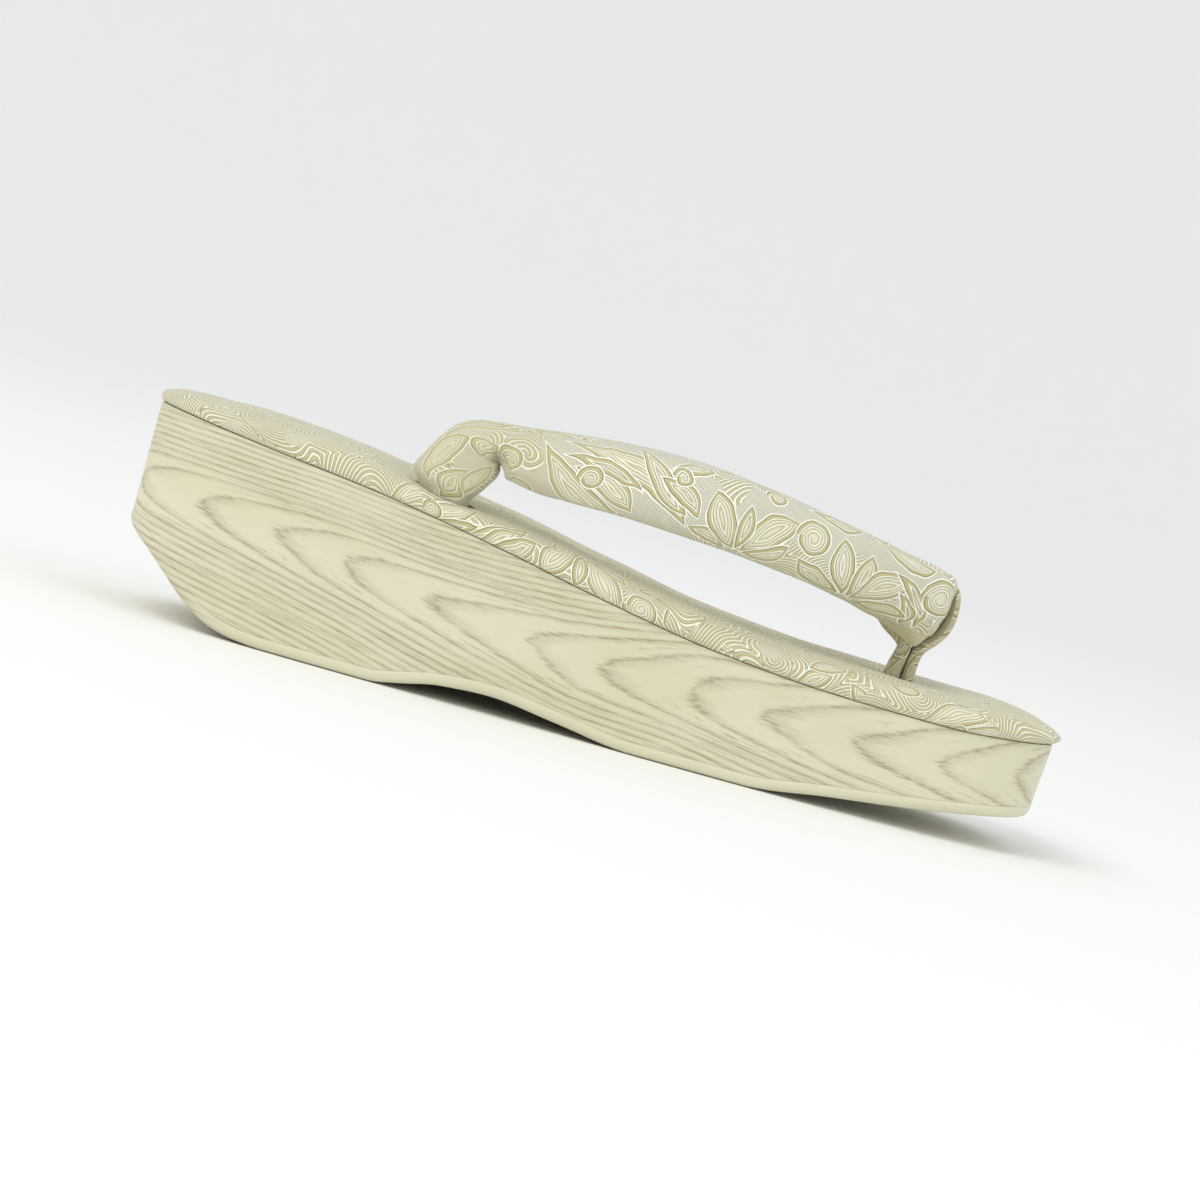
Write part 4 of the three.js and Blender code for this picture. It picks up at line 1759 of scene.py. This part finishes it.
@dataclass
class ToeLoop:
    """Folded brocade strip that wraps the joint, its two ends going down into the pad."""

    last: Last
    step: float = 0.8
    corners: tuple[int, int] = (25, 13)
    pleats: int = 3
    pleat_deep: float = 0.16
    crease_deep: float = 0.22
    crease_at: float = 0.18
    smoothings: int = 3
    cloth_start: float = 101.0
    # Darker, warmer threads than the strap's: partly the loop's own gold cloth, partly painted shade, since
    # the stem stands in shadow.
    threads: BrocadeThreads = BrocadeThreads(
        ivory=(232, 228, 202), silver=(222, 215, 182), shade=(150, 140, 98), gold=(176, 164, 112)
    )
    run_x: Table = (200.7, 200.8, 200.9, 201.1, 201.8, 204.2, 206.5, 207.3, 206.9, 203.9, 198.2,
                                192.6, 189.8, 189.4, 190.4, 192.8, 196.0, 198.3, 197.8, 197.2, 196.9, 197.0)
    run_z: Table = (28.9, 33.5, 37.0, 40.0, 42.6, 45.3, 48.8, 53.5, 58.0, 61.2, 62.0,
                                61.3, 58.2, 53.5, 48.8, 46.2, 44.4, 42.2, 39.4, 36.5, 33.5, 28.9)
    thick: Table = (2.9, 3.0, 3.0, 2.9, 2.9, 2.9, 3.0, 2.9, 2.7, 2.6, 2.6,
                                2.6, 2.6, 2.6, 2.6, 2.7, 2.8, 3.0, 3.2, 3.5, 3.6, 3.3)
    wide: Table = (6.8, 7.6, 8.2, 8.5, 8.7, 9.2, 9.8, 10.4, 10.8, 10.9, 10.9,
                               10.9, 10.7, 10.2, 9.7, 9.2, 8.8, 8.6, 8.5, 8.2, 7.6, 6.8)

    def section(self, wide: float, thick: float, twist: float) -> np.ndarray:
        """Section of the strip: across it, and out from its middle.

        Args:
            wide: Width of the strip.
            thick: Thickness of the strip.
            twist: Where its pleats lie, in radians.

        Returns:
            Rows of across and out.
        """
        outer, inner = self.corners
        across = np.concatenate([np.linspace(-1, 1, outer), np.linspace(1, -1, inner)[1:-1]])
        round_off = (1 - np.abs(across) ** 5) ** 0.5
        pleat = self.pleat_deep * np.cos(self.pleats * math.pi * across + twist) * (1 - across**4)
        crease = -self.crease_deep * swelling(across - self.crease_at, 0.07)
        on_outside = np.arange(len(across)) < outer
        out = np.where(on_outside, thick / 2 * round_off + pleat + crease, -thick / 2 * round_off)
        return np.column_stack([across * wide / 2, out])

    def build(self) -> Piece:
        """Sweep the strip from one end in the pad round the neck to the other.

        Returns:
            The loop.
        """
        rough = np.column_stack([self.run_x, self.run_z])
        run = running(np.linalg.norm(np.diff(rough, axis=0), axis=1))
        even = np.linspace(0, run[-1], int(run[-1] / self.step))
        x, z = smooth_table(even, run, self.run_x), smooth_table(even, run, self.run_z)
        for _ in range(self.smoothings):
            for line in (x, z):
                line[1:-1] = (line[:-2] + 2 * line[1:-1] + line[2:]) / 4
        wide, thick = smooth_table(even, run, self.wide), smooth_table(even, run, self.thick)
        dx, dz = np.gradient(x), np.gradient(z)
        long = np.hypot(dx, dz)
        rings, walks = [], []
        for k in range(len(even)):
            section = self.section(wide[k], thick[k], 0.5 * math.sin(even[k] / 9))
            across, out = section.T
            way_x, way_z = dz[k] / long[k], -dx[k] / long[k]
            rings.append(np.column_stack([x[k] + out * way_x, across, z[k] + out * way_z]))
            walks.append(round_walk(section) + self.cloth_start)
        piece = swept_piece(
            "folded_toe_loop", rings, self.last.middle,
            lambda ring, face, corner: (walks[ring][corner], even[ring]),
        )
        cloth = Brocade(BrocadeGround.PETALS, self.threads, "loop_brocade_painted_shade")
        piece.data.materials.append(cloth.material())
        finish_shading(piece, 55)
        return seat(piece, Slot.BROCADE, "toe_loop")


@dataclass(frozen=True)
class Lamp:
    """Round soft light."""

    name: str
    place: Spot
    size: float
    watts: float
    tone: Tone


@dataclass
class Studio:
    """Pale floor that rises into a bowl, soft lights, and the camera at the photo's angle."""

    flat: float = 1.6
    rim: float = 4.2
    tall: float = 2.6
    eye: Spot = (-0.0356, -0.849, 0.0844)
    right: Spot = (0.9632, 0.0106, 0.2687)
    down: Spot = (0.2683, -0.1083, -0.9572)
    ahead: Spot = (0.0189, 0.9941, -0.1071)
    photo_focus: float = 2500.0
    photo_middle: Pair = (684.0, 503.0)
    focus: float = 3330.0
    image: float = 1200.0
    sensor: float = 36.0
    aim: Spot = (0, 0, 0.03)
    lamps: tuple[Lamp, ...] = (
        Lamp("window", (-1.1, -1.3, 1.9), 1.6, 21, (255, 252, 246)),
        Lamp("fill", (1.6, -1.2, 1.1), 1.8, 5, (250, 252, 255)),
    )
    surround: Tone = (246, 249, 252)
    surround_strength: float = 0.82
    floor_sides: int = 96
    floor_rings: int = 12

    def floor(self) -> Piece:
        """Floor disc whose edge is drawn up in rings.

        Returns:
            The floor.
        """
        deselect()
        bpy.ops.mesh.primitive_circle_add(vertices=self.floor_sides, radius=self.flat, fill_type="NGON")
        floor = bpy.context.object
        floor.name = "floor"
        bpy.ops.object.mode_set(mode="EDIT")
        bpy.ops.mesh.select_all(action="SELECT")
        bpy.ops.mesh.select_mode(type="EDGE")
        bpy.ops.mesh.region_to_loop()
        before = (self.flat, 0.0)
        for k in range(1, self.floor_rings + 1):
            a = math.pi / 2 * k / self.floor_rings
            radius = self.flat + (self.rim - self.flat) * math.sin(a)
            height = self.tall * (1 - math.cos(a))
            grow = radius / before[0]
            bpy.ops.mesh.extrude_edges_move(TRANSFORM_OT_translate={"value": (0, 0, height - before[1])})
            bpy.ops.transform.resize(value=(grow, grow, 1), center_override=(0, 0, 0))
            before = (radius, height)
        bpy.ops.object.mode_set(mode="OBJECT")
        for face in floor.data.polygons:
            face.use_smooth = True
        floor.data.materials.append(PaleFloor().material())
        return floor

    def light(self, lamp: Lamp) -> None:
        """Hang one lamp so that it faces the sandal.

        Args:
            lamp: The lamp.
        """
        data = bpy.data.lights.new(lamp.name, "AREA")
        data.shape, data.size, data.energy = "DISK", lamp.size, lamp.watts
        data.color = linear(*lamp.tone)[:3]
        hung = bpy.data.objects.new(lamp.name, data)
        hung.location = lamp.place
        hung.rotation_euler = (Vector(self.aim) - Vector(lamp.place)).to_track_quat("-Z", "Y").to_euler()
        bpy.context.scene.collection.objects.link(hung)

    def camera(self) -> None:
        """Camera at the photo's place and roll, turned a little to put the sandal in the middle."""
        right, down, ahead = Vector(self.right), Vector(self.down), Vector(self.ahead)
        px, py = ((at - self.image / 2) / self.photo_focus for at in self.photo_middle)
        aim = (ahead + right * px + down * py).normalized()
        turn = ahead.rotation_difference(aim)
        right, down = turn @ right, turn @ down
        up = -down
        back = right.cross(up).normalized()
        up = back.cross(right).normalized()
        data = bpy.data.cameras.new("camera")
        data.sensor_width = self.sensor
        data.lens = self.sensor * self.focus / self.image
        camera = bpy.data.objects.new("camera", data)
        basis = Matrix((right, up, back)).transposed()
        camera.matrix_world = Matrix.Translation(self.eye) @ basis.to_4x4()
        bpy.context.scene.collection.objects.link(camera)
        bpy.context.scene.camera = camera

    def world(self) -> None:
        """Even white surround."""
        world = bpy.data.worlds.new("surround")
        world.use_nodes = True
        glow = world.node_tree.nodes["Background"]
        glow.inputs["Color"].default_value = linear(*self.surround)
        glow.inputs["Strength"].default_value = self.surround_strength
        bpy.context.scene.world = world

    def build(self) -> None:
        """Make the whole studio."""
        self.floor()
        self.world()
        for lamp in self.lamps:
            self.light(lamp)
        self.camera()
        view = bpy.context.scene.view_settings
        view.view_transform, view.look = "Standard", "None"
        view.exposure, view.gamma = 0.0, 1.0


def main() -> None:
    """Build the sandal's pieces and the studio, in order."""
    logging.basicConfig(level=logging.INFO, format="%(name)s: %(message)s")
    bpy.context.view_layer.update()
    last = Last()
    Sole(last).build()
    Insole(last).build()
    Strap(last).build()
    ToeLoop(last).build()
    Studio().build()
    deselect()
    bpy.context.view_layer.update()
    log.info("sandal and studio are built")


if __name__ == "__main__":
    main()
